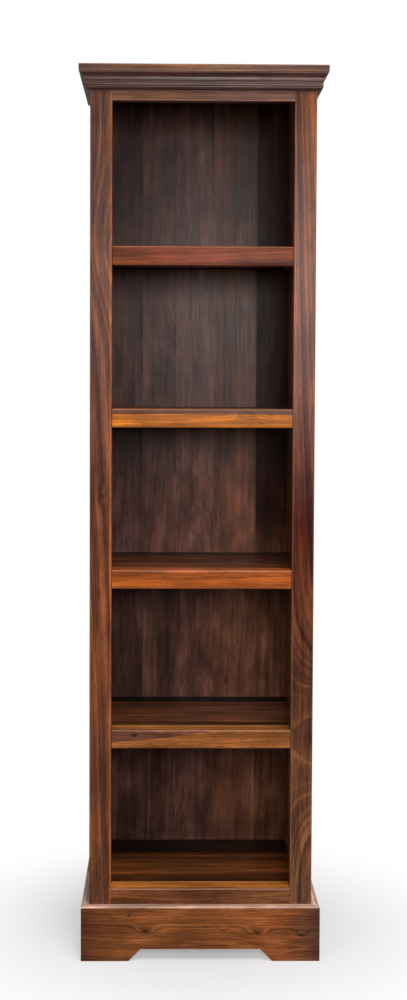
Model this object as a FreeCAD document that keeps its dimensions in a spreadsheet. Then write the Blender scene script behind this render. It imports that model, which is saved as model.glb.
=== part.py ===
import FreeCAD, Part
import math
import os
import re

import Sketcher

# A slim solid-wood bookcase.  +Z is up, the front faces -Y, and the origin is on the floor, under the
# middle of the overall box.  All sizes are in millimetres.

# name: (size, what it is)
SIZES = {
    "overall_height": (1800, "floor to the top of the cornice"),
    "overall_width": (496, "width over the cornice"),
    "overall_depth": (378, "front of the cornice to the back of the posts"),
    "cornice_overhang": (22, "top board beyond the posts, at the front and sides"),
    "top_board_thickness": (14, "top board"),
    "top_board_edge": (1.5, "rounding of the top board's edges"),
    "cornice_step": (3.5, "moulding set back under the top board's edge"),
    "cove_lip": (2, "flat lip over the cove"),
    "cove_height": (11.5, "height of the cove"),
    "cove_depth": (6, "how far the cove cuts in"),
    "reed_height": (3, "height of the two small reeds"),
    "reed_bulge": (0.8, "how far the reeds stand out"),
    "frieze_step": (2.5, "step in under the upper reed"),
    "frieze_height": (5.5, "flat between the upper reed and the bead"),
    "bead_height": (5, "height of the bead"),
    "bead_bulge": (1.6, "how far the bead stands out"),
    "moulding_foot": (4, "height of the rounding under the beads"),
    "moulding_foot_depth": (6, "depth of the rounding under the beads"),
    "post_size": (44, "side of the square front posts"),
    "post_edge": (2, "rounding of the posts' outer edges"),
    "rear_post_depth": (45, "depth of the rear posts"),
    "side_setback": (10, "side panel set back behind the posts' outer face"),
    "panel_thickness": (18, "side panels"),
    "panel_groove": (8, "how far panels and rails enter the posts"),
    "side_rail_show": (60, "side rails seen above the plinth and under the moulding"),
    "side_rail_hidden": (60, "side bottom rail behind the plinth"),
    "front_rail_thickness": (22, "front top rail, front to back"),
    "top_rail_show": (20, "front top rail seen under the moulding"),
    "tenon_thickness": (11, "tenons of the front rails"),
    "tenon_shoulder": (7, "shoulders over and under the tenons"),
    "tenon_length": (20, "tenons into the posts"),
    "joint_gap": (0.5, "play at the end of tenons and dowels"),
    "plinth_height": (112, "plinth"),
    "plinth_thickness": (16, "plinth boards"),
    "plinth_edge": (5, "rounding of the plinth's top edge"),
    "foot_width": (96, "flat foot at each end of the front plinth"),
    "arch_height": (25, "cut-out between the feet"),
    "arch_slope": (25, "how far each end of the cut-out slants"),
    "floor_top": (144, "top of the fixed floor shelf"),
    "bay_pitch": (325, "shelf top to shelf top"),
    "shelf_rail_height": (38, "front rail of a shelf"),
    "board_post_gap": (1, "gap between a shelf board and the front posts"),
    "shelf_edge": (4, "rounding of the shelf rails' front edges"),
    "board_thickness": (20, "shelf boards"),
    "board_tongue": (6, "thickness of the tongue that joins board and rail"),
    "tongue_reach": (8, "length of that tongue"),
    "shelf_side_gap": (1, "gap between a shelf rail and the posts"),
    "board_side_gap": (1.5, "gap between a shelf board and the side panels"),
    "board_back_gap": (2, "gap between a shelf board and the back"),
    "back_recess": (9, "back boards set in from the rear posts' back face"),
    "back_thickness": (12, "back boards"),
    "back_groove": (8, "how far the back boards enter the rear posts"),
    "back_top_groove": (6, "how far the back boards enter the top board"),
    "back_tongue": (4, "thickness of the tongues between back boards"),
    "back_tongue_reach": (5, "length of those tongues"),
    "back_board_first": (74, "width of the first back board seen from inside"),
    "back_board_second": (74, "width of the second back board"),
    "back_board_third": (83, "width of the third back board"),
    "back_board_fourth": (94, "width of the fourth back board"),
    "cleat_size": (20, "square section of the floor cleats"),
    "cleat_inset": (12, "cleat ends clear of the front posts and the back"),
    "dowel_diameter": (8, "dowels under the top board"),
    "dowel_up": (8, "dowel into the top board"),
    "dowel_down": (24, "dowel into a post"),
    "dowel_outer": (15, "dowel centre from the posts' outer face"),
    "dowel_front": (20, "dowel centre from the front posts' front face"),
    "dowel_rear": (29, "dowel centre from the rear posts' back face"),
    "hole_play": (0.1, "radial play of screws and dowels in their holes"),
    "screw_diameter": (3.5, "shank of the screws"),
    "screw_head": (7, "diameter of the screw heads"),
    "screw_head_height": (2.2, "height of the screw heads"),
    "screw_grip": (16, "screw length in the second piece"),
    "back_screw_edge": (16, "back screws from each side of a board"),
    "pin_diameter": (5, "stem of a shelf pin"),
    "pin_play": (0.05, "radial play of a pin in its hole"),
    "pin_stem": (9.5, "length of the stem"),
    "pin_hole_depth": (10, "depth of the pin holes"),
    "pin_reach": (12, "pin beyond the side panel"),
    "pin_width": (9, "flat of the pin, front to back"),
    "pin_height": (5, "height of the pin's flat"),
    "pin_edge": (1, "rounding of the pin's free corners"),
    "pin_front_inset": (40, "front pins behind the front posts"),
    "pin_rear_inset": (50, "rear pins in front of the back boards"),
    "hole_pitch": (25, "pin holes, centre to centre"),
}
SHELVES = 4
HOLES_EACH_WAY = 2
BACK_BOARDS = 5
CLEAT_SCREWS = 3
STRAIGHT = 1e-4
UP = FreeCAD.Vector(0, 0, 1)

# How a sketch names its origin and the points of a line, arc or circle.
ORIGIN = -1
START = 1
END = 2
CENTRE = 3

# Places worked out from the sizes, as expressions over them.
CARCASE_SIDE = "(overall_width / 2 - cornice_overhang)"
FRONT = "(cornice_overhang - overall_depth / 2)"
REAR = "(overall_depth / 2)"
CARCASE_TOP = "(overall_height - top_board_thickness)"
MOULDING_HEIGHT = (
    "(cove_lip + cove_height + 2 * reed_height + frieze_height + bead_height + moulding_foot)"
)
POST_INSIDE = f"({CARCASE_SIDE} - post_size)"
POST_BACK = f"({FRONT} + post_size)"
PANEL_OUTSIDE = f"({CARCASE_SIDE} - side_setback)"
PANEL_INSIDE = f"({PANEL_OUTSIDE} - panel_thickness)"
REAR_POST_FRONT = f"({REAR} - rear_post_depth)"
BACK_FACE = f"({REAR} - back_recess - back_thickness)"
TOP_RAIL_LOW = f"({CARCASE_TOP} - {MOULDING_HEIGHT} - top_rail_show)"
SIDE_TOP_RAIL_LOW = f"({CARCASE_TOP} - {MOULDING_HEIGHT} - side_rail_show)"
SIDE_BOTTOM_RAIL_LOW = "(plinth_height - side_rail_hidden)"
SIDE_BOTTOM_RAIL_TOP = "(plinth_height + side_rail_show)"
BOARD_FRONT = f"({POST_BACK} + board_post_gap)"
FLOOR_UNDER = "(floor_top - board_thickness)"
BACK_LOW = "(floor_top - shelf_rail_height)"
BACK_MIDDLE = f"({BACK_FACE} + back_thickness / 2)"
FRONT_PINS = f"({POST_BACK} + pin_front_inset)"
REAR_PINS = f"({BACK_FACE} - pin_rear_inset)"
PIN_AXIS_DROP = "(board_thickness + pin_height / 2)"
DOWEL_PLACES = (
    (f"({CARCASE_SIDE} - dowel_outer)", f"({FRONT} + dowel_front)"),
    (f"({CARCASE_SIDE} - dowel_outer)", f"({REAR} - dowel_rear)"),
)

# Each plane: (role, sketch axes, axis it faces, whether it faces the positive way)
PLANES = {
    "plan": ("XY_Plane", (0, 1), 2, True),
    "front": ("XZ_Plane", (0, 2), 1, False),
    "side": ("YZ_Plane", (1, 2), 0, True),
}
AXES = "xyz"

doc = FreeCAD.newDocument("Bookcase")
sheet = doc.addObject("Spreadsheet::Sheet", "Sizes")
for row, (alias, (size, meaning)) in enumerate(SIZES.items(), start=1):
    sheet.set(f"A{row}", meaning)
    sheet.set(f"B{row}", str(size))
    sheet.setAlias(f"B{row}", alias)
doc.recompute()

pieces = []


def bound(expression):
    """Return an expression with the names of sizes pointed at their cells."""

    def cell(word):
        return f"Sizes.{word[0]}" if word[0] in SIZES else word[0]

    return re.sub(r"[a-z_]+", cell, str(expression))


def number(expression):
    """Return the present value of an expression over the sizes."""
    value = sheet.evalExpression(bound(expression))
    return float(getattr(value, "Value", value))


def bind(target, **expressions):
    """Bind properties of an object to expressions over the sizes."""
    for name, expression in expressions.items():
        target.setExpression(name, bound(expression))


def place(target, x, y, z):
    """Bind an object's position."""
    for axis, expression in zip(AXES, (x, y, z)):
        target.setExpression(f"Placement.Base.{axis}", bound(expression))


class Piece:
    """A PartDesign body, drawn in the bookcase's own coordinates and placed by one corner."""

    def __init__(self, label, x, y, z):
        self.body = doc.addObject("PartDesign::Body", label)
        self.body.Label = label
        self.corner = (x, y, z)
        self.drawings = 0
        place(self.body, x, y, z)
        pieces.append(self.body)

    def local(self, axis, expression):
        """Return a place along one axis as seen from the piece's corner."""
        return f"(({expression}) - ({self.corner[axis]}))"

    def sketch(self, plane, at, outline):
        """Draw a closed outline, or circles, on a plane at a place along the axis it faces."""
        role, axes, facing, positive = PLANES[plane]
        self.drawings += 1
        name = f"{self.body.Label}_drawing_{self.drawings}"
        drawing = self.body.newObject("Sketcher::SketchObject", name)
        datum = next(item for item in self.body.Origin.OriginFeatures if item.Role == role)
        drawing.AttachmentSupport = [(datum, "")]
        drawing.MapMode = "FlatFace"
        offset = self.local(facing, at)
        drawing.setExpression("AttachmentOffset.Base.z", bound(offset if positive else f"-{offset}"))
        corners = [
            (self.local(axes[0], corner[0]), self.local(axes[1], corner[1]), *corner[2:])
            for corner in outline
        ]
        if len(corners) < 3:
            draw_circles(drawing, corners)
        else:
            draw_outline(drawing, corners)
        return drawing

    def feature(self, kind, drawing, length):
        """Add a pad or a pocket of one drawing and make it the body's result."""
        made = self.body.newObject(f"PartDesign::{kind}", f"{drawing.Name}_{kind.lower()}")
        made.Profile = drawing
        bind(made, Length=length)
        drawing.Visibility = False
        self.body.Tip = made
        return made

    def pad(self, plane, outline, low, high):
        """Add wood between two places along the axis that the plane faces."""
        start = low if PLANES[plane][3] else high
        return self.feature("Pad", self.sketch(plane, start, outline), f"({high}) - ({low})")

    def cut(self, plane, outline, low, high):
        """Take wood away between two places along the axis that the plane faces."""
        start = high if PLANES[plane][3] else low
        return self.feature("Pocket", self.sketch(plane, start, outline), f"({high}) - ({low})")

    def round_edges(self, radius, along, **sides):
        """Round the straight edges along an axis that lie on the named sides of the piece."""
        doc.recompute()
        base = self.body.Tip
        names = [
            f"Edge{index}"
            for index, edge in enumerate(base.Shape.Edges, start=1)
            if runs_along(edge.BoundBox, along) and lies_on(edge.BoundBox, base.Shape.BoundBox, sides)
        ]
        fillet = self.body.newObject("PartDesign::Fillet", f"{self.body.Label}_rounding_{along}")
        fillet.Base = (base, names)
        bind(fillet, Radius=radius)
        self.body.Tip = fillet

    def repeat(self, feature, axis, *runs):
        """Repeat a feature along an axis; each run is (length, times)."""
        direction = next(item for item in self.body.Origin.OriginFeatures if item.Role == axis)
        multiple = self.body.newObject("PartDesign::MultiTransform", f"{feature.Name}_repeats")
        multiple.Originals = [feature]
        steps = []
        for length, times in runs:
            step = self.body.newObject("PartDesign::LinearPattern", f"{feature.Name}_run")
            step.Direction = (direction, [""])
            step.Occurrences = times
            bind(step, Length=length)
            steps.append(step)
        multiple.Transformations = steps
        self.body.Tip = multiple


def runs_along(box, along):
    """Tell whether an edge's box is a line along one axis."""
    return all(getattr(box, f"{axis}Length") < STRAIGHT for axis in "XYZ" if axis != along)


def lies_on(box, whole, sides):
    """Tell whether a box lies on the named sides of the whole box, such as X="Max" or Z="Min Max"."""

    def reaches(axis, end):
        return abs(getattr(box, axis + end) - getattr(whole, axis + end)) < STRAIGHT

    return all(any(reaches(axis, end) for end in ends.split()) for axis, ends in sides.items())


def arc_between(start, finish, radius, bulge):
    """Return the minor arc from start to finish; bulge is 1 to its right and -1 to its left."""
    chord = finish - start
    reach = math.sqrt(max(radius * radius - chord.Length ** 2 / 4, 0))
    left = FreeCAD.Vector(-chord.y, chord.x, 0).normalize()
    centre = (start + finish) / 2 + left * reach * bulge
    ends = (start, finish) if bulge > 0 else (finish, start)
    angles = [math.atan2(end.y - centre.y, end.x - centre.x) for end in ends]
    return Part.ArcOfCircle(Part.Circle(centre, UP, radius), *angles)


def draw_outline(drawing, corners):
    """Draw a closed outline; a corner may add the radius and bulge of the arc that leaves it."""
    spots = [FreeCAD.Vector(number(corner[0]), number(corner[1]), 0) for corner in corners]
    backwards = []
    for index, corner in enumerate(corners):
        finish = spots[(index + 1) % len(spots)]
        backwards.append(corner[2:][1:] == (-1,))
        if len(corner) == 2:
            drawing.addGeometry(Part.LineSegment(spots[index], finish))
        else:
            drawing.addGeometry(arc_between(spots[index], finish, number(corner[2]), corner[3]))
            fix_radius(drawing, index, corner[2])
    for index, (corner, spot) in enumerate(zip(corners, spots)):
        before = (index or len(corners)) - 1
        leaving = END if backwards[index] else START
        arriving = START if backwards[before] else END
        drawing.addConstraint(Sketcher.Constraint("Coincident", before, arriving, index, leaving))
        fix_point(drawing, index, leaving, corner, spot)


def draw_circles(drawing, centres):
    """Draw circles, each given as (across, up, radius)."""
    for index, centre in enumerate(centres):
        spot = FreeCAD.Vector(number(centre[0]), number(centre[1]), 0)
        drawing.addGeometry(Part.Circle(spot, UP, number(centre[2])))
        fix_radius(drawing, index, centre[2])
        fix_point(drawing, index, CENTRE, centre, spot)


def fix_radius(drawing, geometry, expression):
    """Tie the radius of an arc or circle to its expression."""
    made = drawing.addConstraint(Sketcher.Constraint("Radius", geometry, number(expression)))
    drawing.setExpression(f"Constraints[{made}]", bound(expression))


def fix_point(drawing, geometry, end, corner, spot):
    """Tie one point of a drawing to its two expressions."""
    for kind, expression, value in (("DistanceX", corner[0], spot.x), ("DistanceY", corner[1], spot.y)):
        made = drawing.addConstraint(Sketcher.Constraint(kind, ORIGIN, START, geometry, end, value))
        drawing.setExpression(f"Constraints[{made}]", bound(expression))


def rectangle(low_a, high_a, low_b, high_b):
    """Return the corners of a rectangle."""
    return [(low_a, low_b), (high_a, low_b), (high_a, high_b), (low_a, high_b)]


def block(label, x, y, z):
    """Make a plain board from its (low, high) places on each axis."""
    piece = Piece(label, x[0], y[0], z[0])
    piece.pad("plan", rectangle(*x, *y), *z)
    return piece


def mirrored(side, low, high):
    """Return (low, high) on the right side, or their mirror image on the left."""
    return (low, high) if side > 0 else (f"-({high})", f"-({low})")


def side_name(side):
    """Return the side's name as seen from the front."""
    return "right" if side > 0 else "left"


def tenon_span(low, high):
    """Return the height of a tenon on a rail with this height."""
    return f"({low}) + tenon_shoulder", f"({high}) - tenon_shoulder"


def tenon_depth(front, back):
    """Return a tenon's (low, high) places in the middle of a rail's thickness."""
    middle = f"(({front}) + ({back})) / 2"
    return f"{middle} - tenon_thickness / 2", f"{middle} + tenon_thickness / 2"


# Rails between the front posts: (label, front, back, underside, top)
FRONT_RAILS = (
    ("front_top_rail", FRONT, f"{FRONT} + front_rail_thickness", TOP_RAIL_LOW, CARCASE_TOP),
    ("floor_rail", FRONT, BOARD_FRONT, BACK_LOW, "floor_top"),
)


def make_front_post(side):
    """Make a front post with the groove for its side frame, mortises and a dowel hole."""
    x = mirrored(side, POST_INSIDE, CARCASE_SIDE)
    post = block(f"front_post_{side_name(side)}", x, (FRONT, POST_BACK), ("0", CARCASE_TOP))
    post.round_edges("post_edge", "Z", X="Min Max", Y="Min")
    groove = mirrored(side, PANEL_INSIDE, PANEL_OUTSIDE)
    groove_y = (f"{POST_BACK} - panel_groove", POST_BACK)
    post.cut("plan", rectangle(*groove, *groove_y), SIDE_BOTTOM_RAIL_LOW, CARCASE_TOP)
    reach = mirrored(side, POST_INSIDE, f"{POST_INSIDE} + tenon_length + joint_gap")
    for label, front, back, low, high in FRONT_RAILS:
        opening = rectangle(*tenon_depth(front, back), *tenon_span(low, high))
        post.cut("side", opening, *reach)
    drill_dowel(post, side, DOWEL_PLACES[0])


def make_rear_post(side):
    """Make a rear post with a rebate for the side frame, a groove for the back and a dowel hole."""
    x = mirrored(side, PANEL_INSIDE, CARCASE_SIDE)
    post = block(f"rear_post_{side_name(side)}", x, (REAR_POST_FRONT, REAR), ("0", CARCASE_TOP))
    post.round_edges("post_edge", "Z", X="Max" if side > 0 else "Min", Y="Max")
    rebate = mirrored(side, PANEL_INSIDE, PANEL_OUTSIDE)
    rebate_y = (REAR_POST_FRONT, f"{REAR_POST_FRONT} + panel_groove")
    post.cut("plan", rectangle(*rebate, *rebate_y), SIDE_BOTTOM_RAIL_LOW, CARCASE_TOP)
    groove = mirrored(side, PANEL_INSIDE, f"{PANEL_INSIDE} + back_groove")
    groove_y = (BACK_FACE, f"{BACK_FACE} + back_thickness")
    post.cut("plan", rectangle(*groove, *groove_y), BACK_LOW, CARCASE_TOP)
    drill_dowel(post, side, DOWEL_PLACES[1])


def drill_dowel(post, side, spot):
    """Drill the dowel hole in the top of a post."""
    across = spot[0] if side > 0 else f"-({spot[0]})"
    hole = [(across, spot[1], "dowel_diameter / 2 + hole_play")]
    post.cut("plan", hole, f"{CARCASE_TOP} - dowel_down", CARCASE_TOP)


def make_side_rail(side, label, low, high, panel_edge):
    """Make a side rail: stub tenons at both ends and a rebate along the panel's edge."""
    width = mirrored(side, PANEL_INSIDE, CARCASE_SIDE)
    tenon = mirrored(side, PANEL_INSIDE, PANEL_OUTSIDE)
    if panel_edge == "low":
        rebate = (low, f"{low} + panel_groove")
        tenon_height = (rebate[1], high)
    else:
        rebate = (f"{high} - panel_groove", high)
        tenon_height = (low, rebate[0])
    name = f"side_{label}_rail_{side_name(side)}"
    rail = block(name, width, (POST_BACK, REAR_POST_FRONT), (low, high))
    rail.cut("plan", rectangle(*tenon, POST_BACK, REAR_POST_FRONT), *rebate)
    rail.pad("plan", rectangle(*tenon, f"{POST_BACK} - panel_groove", POST_BACK), *tenon_height)
    rear_end = (REAR_POST_FRONT, f"{REAR_POST_FRONT} + panel_groove")
    rail.pad("plan", rectangle(*tenon, *rear_end), *tenon_height)


def make_side_panel(side):
    """Make a side panel with two rows of blind holes for shelf pins."""
    x = mirrored(side, PANEL_INSIDE, PANEL_OUTSIDE)
    y = (f"{POST_BACK} - panel_groove", f"{REAR_POST_FRONT} + panel_groove")
    z = (f"{SIDE_BOTTOM_RAIL_TOP} - panel_groove", f"{SIDE_TOP_RAIL_LOW} + panel_groove")
    panel = block(f"side_panel_{side_name(side)}", x, y, z)
    depth = mirrored(side, PANEL_INSIDE, f"{PANEL_INSIDE} + pin_hole_depth")
    lowest = f"floor_top + bay_pitch - {PIN_AXIS_DROP} - {HOLES_EACH_WAY} * hole_pitch"
    holes = [(row, lowest, "pin_diameter / 2 + pin_play") for row in (FRONT_PINS, REAR_PINS)]
    first = panel.cut("side", holes, *depth)
    doc.recompute()
    group = 2 * HOLES_EACH_WAY
    panel.repeat(
        first, "Z_Axis", (f"{group} * hole_pitch", group + 1), (f"{SHELVES - 1} * bay_pitch", SHELVES)
    )


def make_front_rail(label, front, back, low, high):
    """Make a rail between the front posts, with a tenon at each end."""
    width = (f"-{POST_INSIDE}", POST_INSIDE)
    rail = block(label, width, (front, back), (low, high))
    section = rectangle(*tenon_depth(front, back), *tenon_span(low, high))
    for side in (-1, 1):
        rail.pad("side", section, *mirrored(side, POST_INSIDE, f"{POST_INSIDE} + tenon_length"))
    return rail


def cut_board_groove(rail, low, high, under):
    """Cut the groove for a board's tongue in the back of a rail."""
    middle = f"({under} + board_thickness / 2)"
    groove = rectangle(
        f"{BOARD_FRONT} - tongue_reach",
        BOARD_FRONT,
        f"{middle} - board_tongue / 2",
        f"{middle} + board_tongue / 2",
    )
    rail.cut("side", groove, low, high)


def make_board(label, half_width, tongue_half_width, back, under):
    """Make a shelf board with a tongue along its front edge."""
    board = block(
        label, (f"-{half_width}", half_width), (BOARD_FRONT, back), (under, f"{under} + board_thickness")
    )
    middle = f"({under} + board_thickness / 2)"
    tongue = rectangle(
        f"{BOARD_FRONT} - tongue_reach",
        BOARD_FRONT,
        f"{middle} - board_tongue / 2",
        f"{middle} + board_tongue / 2",
    )
    board.pad("side", tongue, f"-{tongue_half_width}", tongue_half_width)
    return board


def make_shelf(index):
    """Make an adjustable shelf: a thick front rail and the board behind it."""
    top = f"(floor_top + {index} * bay_pitch)"
    reach = f"({POST_INSIDE} - shelf_side_gap)"
    rail = block(
        f"shelf_{index}_rail",
        (f"-{reach}", reach),
        (FRONT, BOARD_FRONT),
        (f"{top} - shelf_rail_height", top),
    )
    rail.round_edges("shelf_edge", "X", Y="Min", Z="Min Max")
    under = f"({top} - board_thickness)"
    cut_board_groove(rail, f"-{reach}", reach, under)
    half = f"({PANEL_INSIDE} - board_side_gap)"
    make_board(f"shelf_{index}_board", half, reach, f"{BACK_FACE} - board_back_gap", under)


def make_floor():
    """Make the fixed floor shelf and the cleats that carry it."""
    rail = make_front_rail(*FRONT_RAILS[1])
    rail.round_edges("shelf_edge", "X", Y="Min", Z="Max")
    cut_board_groove(rail, f"-{POST_INSIDE}", POST_INSIDE, FLOOR_UNDER)
    board = make_board("floor_board", PANEL_INSIDE, POST_INSIDE, BACK_FACE, FLOOR_UNDER)
    hole = "screw_diameter / 2 + hole_play"
    for across, along in cleat_screw_places():
        board.cut("plan", [(across, along, hole)], FLOOR_UNDER, f"{FLOOR_UNDER} + screw_grip + joint_gap")
    level = f"({FLOOR_UNDER} + board_thickness / 2)"
    for across in back_screw_places():
        depth = (f"{BACK_FACE} - screw_grip - joint_gap", BACK_FACE)
        board.cut("front", [(across, level, hole)], *depth)
    for side in (-1, 1):
        make_cleat(side)


def make_cleat(side):
    """Make a cleat under one side of the floor board, drilled for its screws."""
    x = mirrored(side, f"{PANEL_INSIDE} - cleat_size", PANEL_INSIDE)
    y = (f"{BOARD_FRONT} + cleat_inset", f"{BACK_FACE} - cleat_inset")
    z = (f"{FLOOR_UNDER} - cleat_size", FLOOR_UNDER)
    cleat = block(f"floor_cleat_{side_name(side)}", x, y, z)
    for across, along in cleat_screw_places():
        if number(across) * side > 0:
            cleat.cut("plan", [(across, along, "screw_diameter / 2 + hole_play")], *z)


def cleat_screw_places():
    """Return where the cleats' screws go, as (x, y)."""
    low = f"({BOARD_FRONT} + 2 * cleat_inset)"
    high = f"({BACK_FACE} - 2 * cleat_inset)"
    middle = f"({PANEL_INSIDE} - cleat_size / 2)"
    return [
        (middle if side > 0 else f"-{middle}", f"{low} + ({high} - {low}) * {step} / {CLEAT_SCREWS - 1}")
        for side in (-1, 1)
        for step in range(CLEAT_SCREWS)
    ]


def back_joints():
    """Return the left face of each back board, and the right face of the last."""
    widths = ("back_board_first", "back_board_second", "back_board_third", "back_board_fourth")
    joints = [f"-{PANEL_INSIDE}"]
    for width in widths:
        joints.append(f"{joints[-1]} + {width}")
    return joints + [PANEL_INSIDE]


def back_screw_places():
    """Return the X places of the back boards' screws, two to a board."""
    joints = back_joints()
    return [
        place_of
        for left, right in zip(joints, joints[1:])
        for place_of in (f"{left} + back_screw_edge", f"{right} - back_screw_edge")
    ]


def make_back_board(index):
    """Make one back board, grooved on its left edge and tongued on its right."""
    joints = back_joints()
    left, right = joints[index - 1], joints[index]
    left_edge = f"{left} - back_groove" if index == 1 else left
    right_edge = f"{right} + back_groove" if index == BACK_BOARDS else right
    y = (BACK_FACE, f"{BACK_FACE} + back_thickness")
    z = (BACK_LOW, f"{CARCASE_TOP} + back_top_groove")
    board = block(f"back_board_{index}", (left_edge, right_edge), y, z)
    tongue = (f"{BACK_MIDDLE} - back_tongue / 2", f"{BACK_MIDDLE} + back_tongue / 2")
    if index > 1:
        board.cut("plan", rectangle(left, f"{left} + back_tongue_reach", *tongue), *z)
    if index < BACK_BOARDS:
        board.pad("plan", rectangle(right, f"{right} + back_tongue_reach", *tongue), *z)
    level = f"({FLOOR_UNDER} + board_thickness / 2)"
    for across in back_screw_places()[2 * index - 2 : 2 * index]:
        board.cut("front", [(across, level, "screw_diameter / 2 + hole_play")], *y)


def make_top_board():
    """Make the top board, grooved for the back and drilled for the dowels."""
    half = "overall_width / 2"
    depth = "overall_depth / 2"
    board = block(
        "top_board", (f"-{half}", half), (f"-{depth}", depth), (CARCASE_TOP, "overall_height")
    )
    board.round_edges("top_board_edge", "X", Y="Min", Z="Min Max")
    board.round_edges("top_board_edge", "Y", X="Min Max", Z="Min Max")
    reach = f"({PANEL_INSIDE} + back_groove)"
    groove = rectangle(f"-{reach}", reach, BACK_FACE, f"{BACK_FACE} + back_thickness")
    board.cut("plan", groove, CARCASE_TOP, f"{CARCASE_TOP} + back_top_groove")
    for side in (-1, 1):
        for across, along in DOWEL_PLACES:
            centre = across if side > 0 else f"-({across})"
            hole = [(centre, along, "dowel_diameter / 2 + hole_play")]
            board.cut("plan", hole, CARCASE_TOP, f"{CARCASE_TOP} + dowel_up + joint_gap")


def bulge_radius(height, bulge):
    """Return the radius of an arc this high that stands out this far."""
    return f"(({height}) ^ 2 / 4 + ({bulge}) ^ 2) / (2 * ({bulge}))"


def turn_radius(along, across):
    """Return the radius of an arc that starts along one way and ends this far along and across."""
    return f"(({along}) ^ 2 + ({across}) ^ 2) / (2 * ({across}))"


def moulding_profile(out, bulge):
    """Return the cornice moulding's outline.

    out(distance) is the place that far out from the posts, and bulge is 1 where that is the
    drawing's positive way and -1 where it is the other.
    """
    reach = "(cornice_overhang - cornice_step)"
    waist = f"({reach} - cove_depth)"
    flat = f"({waist} - frieze_step)"
    levels = [CARCASE_TOP]
    drops = ("cove_lip", "cove_height", "reed_height", "frieze_height", "bead_height", "reed_height")
    for drop in drops:
        levels.append(f"({levels[-1]} - {drop})")
    lip, cove, reed, frieze, bead, lower_reed = levels[1:]
    foot = f"({lower_reed} - moulding_foot)"
    reed_radius = bulge_radius("reed_height", "reed_bulge")
    bead_radius = bulge_radius("bead_height", "bead_bulge")
    foot_radius = turn_radius("moulding_foot_depth", "moulding_foot")
    return [
        (out("0"), CARCASE_TOP),
        (out("0"), foot),
        (out(f"{flat} - moulding_foot_depth"), foot, foot_radius, bulge),
        (out(flat), lower_reed, reed_radius, bulge),
        (out(flat), bead, bead_radius, bulge),
        (out(flat), frieze),
        (out(flat), reed),
        (out(waist), reed, reed_radius, bulge),
        (out(waist), cove, turn_radius("cove_height", "cove_depth"), -bulge),
        (out(reach), lip),
        (out(reach), CARCASE_TOP),
    ]


def plinth_profile(out, bulge):
    """Return the plinth's outline, with a rounded top edge; out and bulge are as for the moulding."""
    return [
        (out("0"), "0"),
        (out("plinth_thickness"), "0"),
        (out("plinth_thickness"), "plinth_height - plinth_edge", "plinth_edge", bulge),
        (out("plinth_thickness - plinth_edge"), "plinth_height"),
        (out("0"), "plinth_height"),
    ]


def make_mitred_front(label, profile, reach, low, high):
    """Make the front strip of a moulding or plinth, mitred at both ends."""
    far = f"({CARCASE_SIDE} + {reach})"
    strip = Piece(label, f"-{far}", f"{FRONT} - {reach}", low)
    outline = profile(lambda distance: f"{FRONT} - ({distance})", -1)
    strip.pad("side", outline, f"-{far}", far)
    for side in (-1, 1):
        corner = CARCASE_SIDE if side > 0 else f"-{CARCASE_SIDE}"
        tip = far if side > 0 else f"-{far}"
        waste = [(corner, FRONT), (tip, f"{FRONT} - {reach}"), (tip, FRONT)]
        strip.cut("plan", waste, low, high)
    return strip


def make_mitred_side(side, label, profile, reach, low, high):
    """Make a side strip of a moulding or plinth, mitred at its front end."""
    far = f"({CARCASE_SIDE} + {reach})"
    x = mirrored(side, CARCASE_SIDE, far)
    strip = Piece(f"{label}_{side_name(side)}", x[0], f"{FRONT} - {reach}", low)
    sign = "" if side > 0 else "-"
    outline = profile(lambda distance: f"{sign}({CARCASE_SIDE} + ({distance}))", side)
    strip.pad("front", outline, f"{FRONT} - {reach}", REAR)
    corner = f"{sign}{CARCASE_SIDE}"
    waste = [(corner, FRONT), (corner, f"{FRONT} - {reach}"), (f"{sign}{far}", f"{FRONT} - {reach}")]
    strip.cut("plan", waste, low, high)


def make_cornice():
    """Make the three strips of moulding under the top board."""
    reach = "(cornice_overhang - cornice_step)"
    low = f"({CARCASE_TOP} - {MOULDING_HEIGHT})"
    make_mitred_front("cornice_front", moulding_profile, reach, low, CARCASE_TOP)
    for side in (-1, 1):
        make_mitred_side(side, "cornice", moulding_profile, reach, low, CARCASE_TOP)


def make_plinth():
    """Make the plinth's three boards, with the cut-out between the front feet."""
    front = make_mitred_front("plinth_front", plinth_profile, "plinth_thickness", "0", "plinth_height")
    foot = f"({CARCASE_SIDE} + plinth_thickness - foot_width)"
    arch = [
        (f"-{foot}", "0"),
        (foot, "0"),
        (f"{foot} - arch_slope", "arch_height"),
        (f"-({foot} - arch_slope)", "arch_height"),
    ]
    front.cut("front", arch, f"{FRONT} - plinth_thickness", FRONT)
    for side in (-1, 1):
        make_mitred_side(side, "plinth", plinth_profile, "plinth_thickness", "0", "plinth_height")


def make_pins(index, side):
    """Make the two pins under one side of a shelf: a round stem and a flat that carries the board."""
    seat = f"(floor_top + {index} * bay_pitch - board_thickness)"
    group = []
    for row, along in (("front", FRONT_PINS), ("rear", REAR_PINS)):
        name = f"shelf_{index}_pin_{row}_{side_name(side)}"
        flat = doc.addObject("Part::Box", f"{name}_flat")
        bind(flat, Length="pin_reach", Width="pin_width", Height="pin_height")
        left = mirrored(side, f"{PANEL_INSIDE} - pin_reach", PANEL_INSIDE)[0]
        place(flat, left, f"{along} - pin_width / 2", f"{seat} - pin_height")
        stem = doc.addObject("Part::Cylinder", f"{name}_stem")
        bind(stem, Radius="pin_diameter / 2", Height="pin_stem")
        stem.Placement.Rotation = FreeCAD.Rotation(FreeCAD.Vector(0, side, 0), 90)
        start = PANEL_INSIDE if side > 0 else f"-{PANEL_INSIDE}"
        place(stem, start, along, f"{seat} - pin_height / 2")
        pin = doc.addObject("Part::MultiFuse", name)
        pin.Shapes = [flat, stem]
        group.append(pin)
    add_group(f"shelf_{index}_pins_{side_name(side)}", group)


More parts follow.
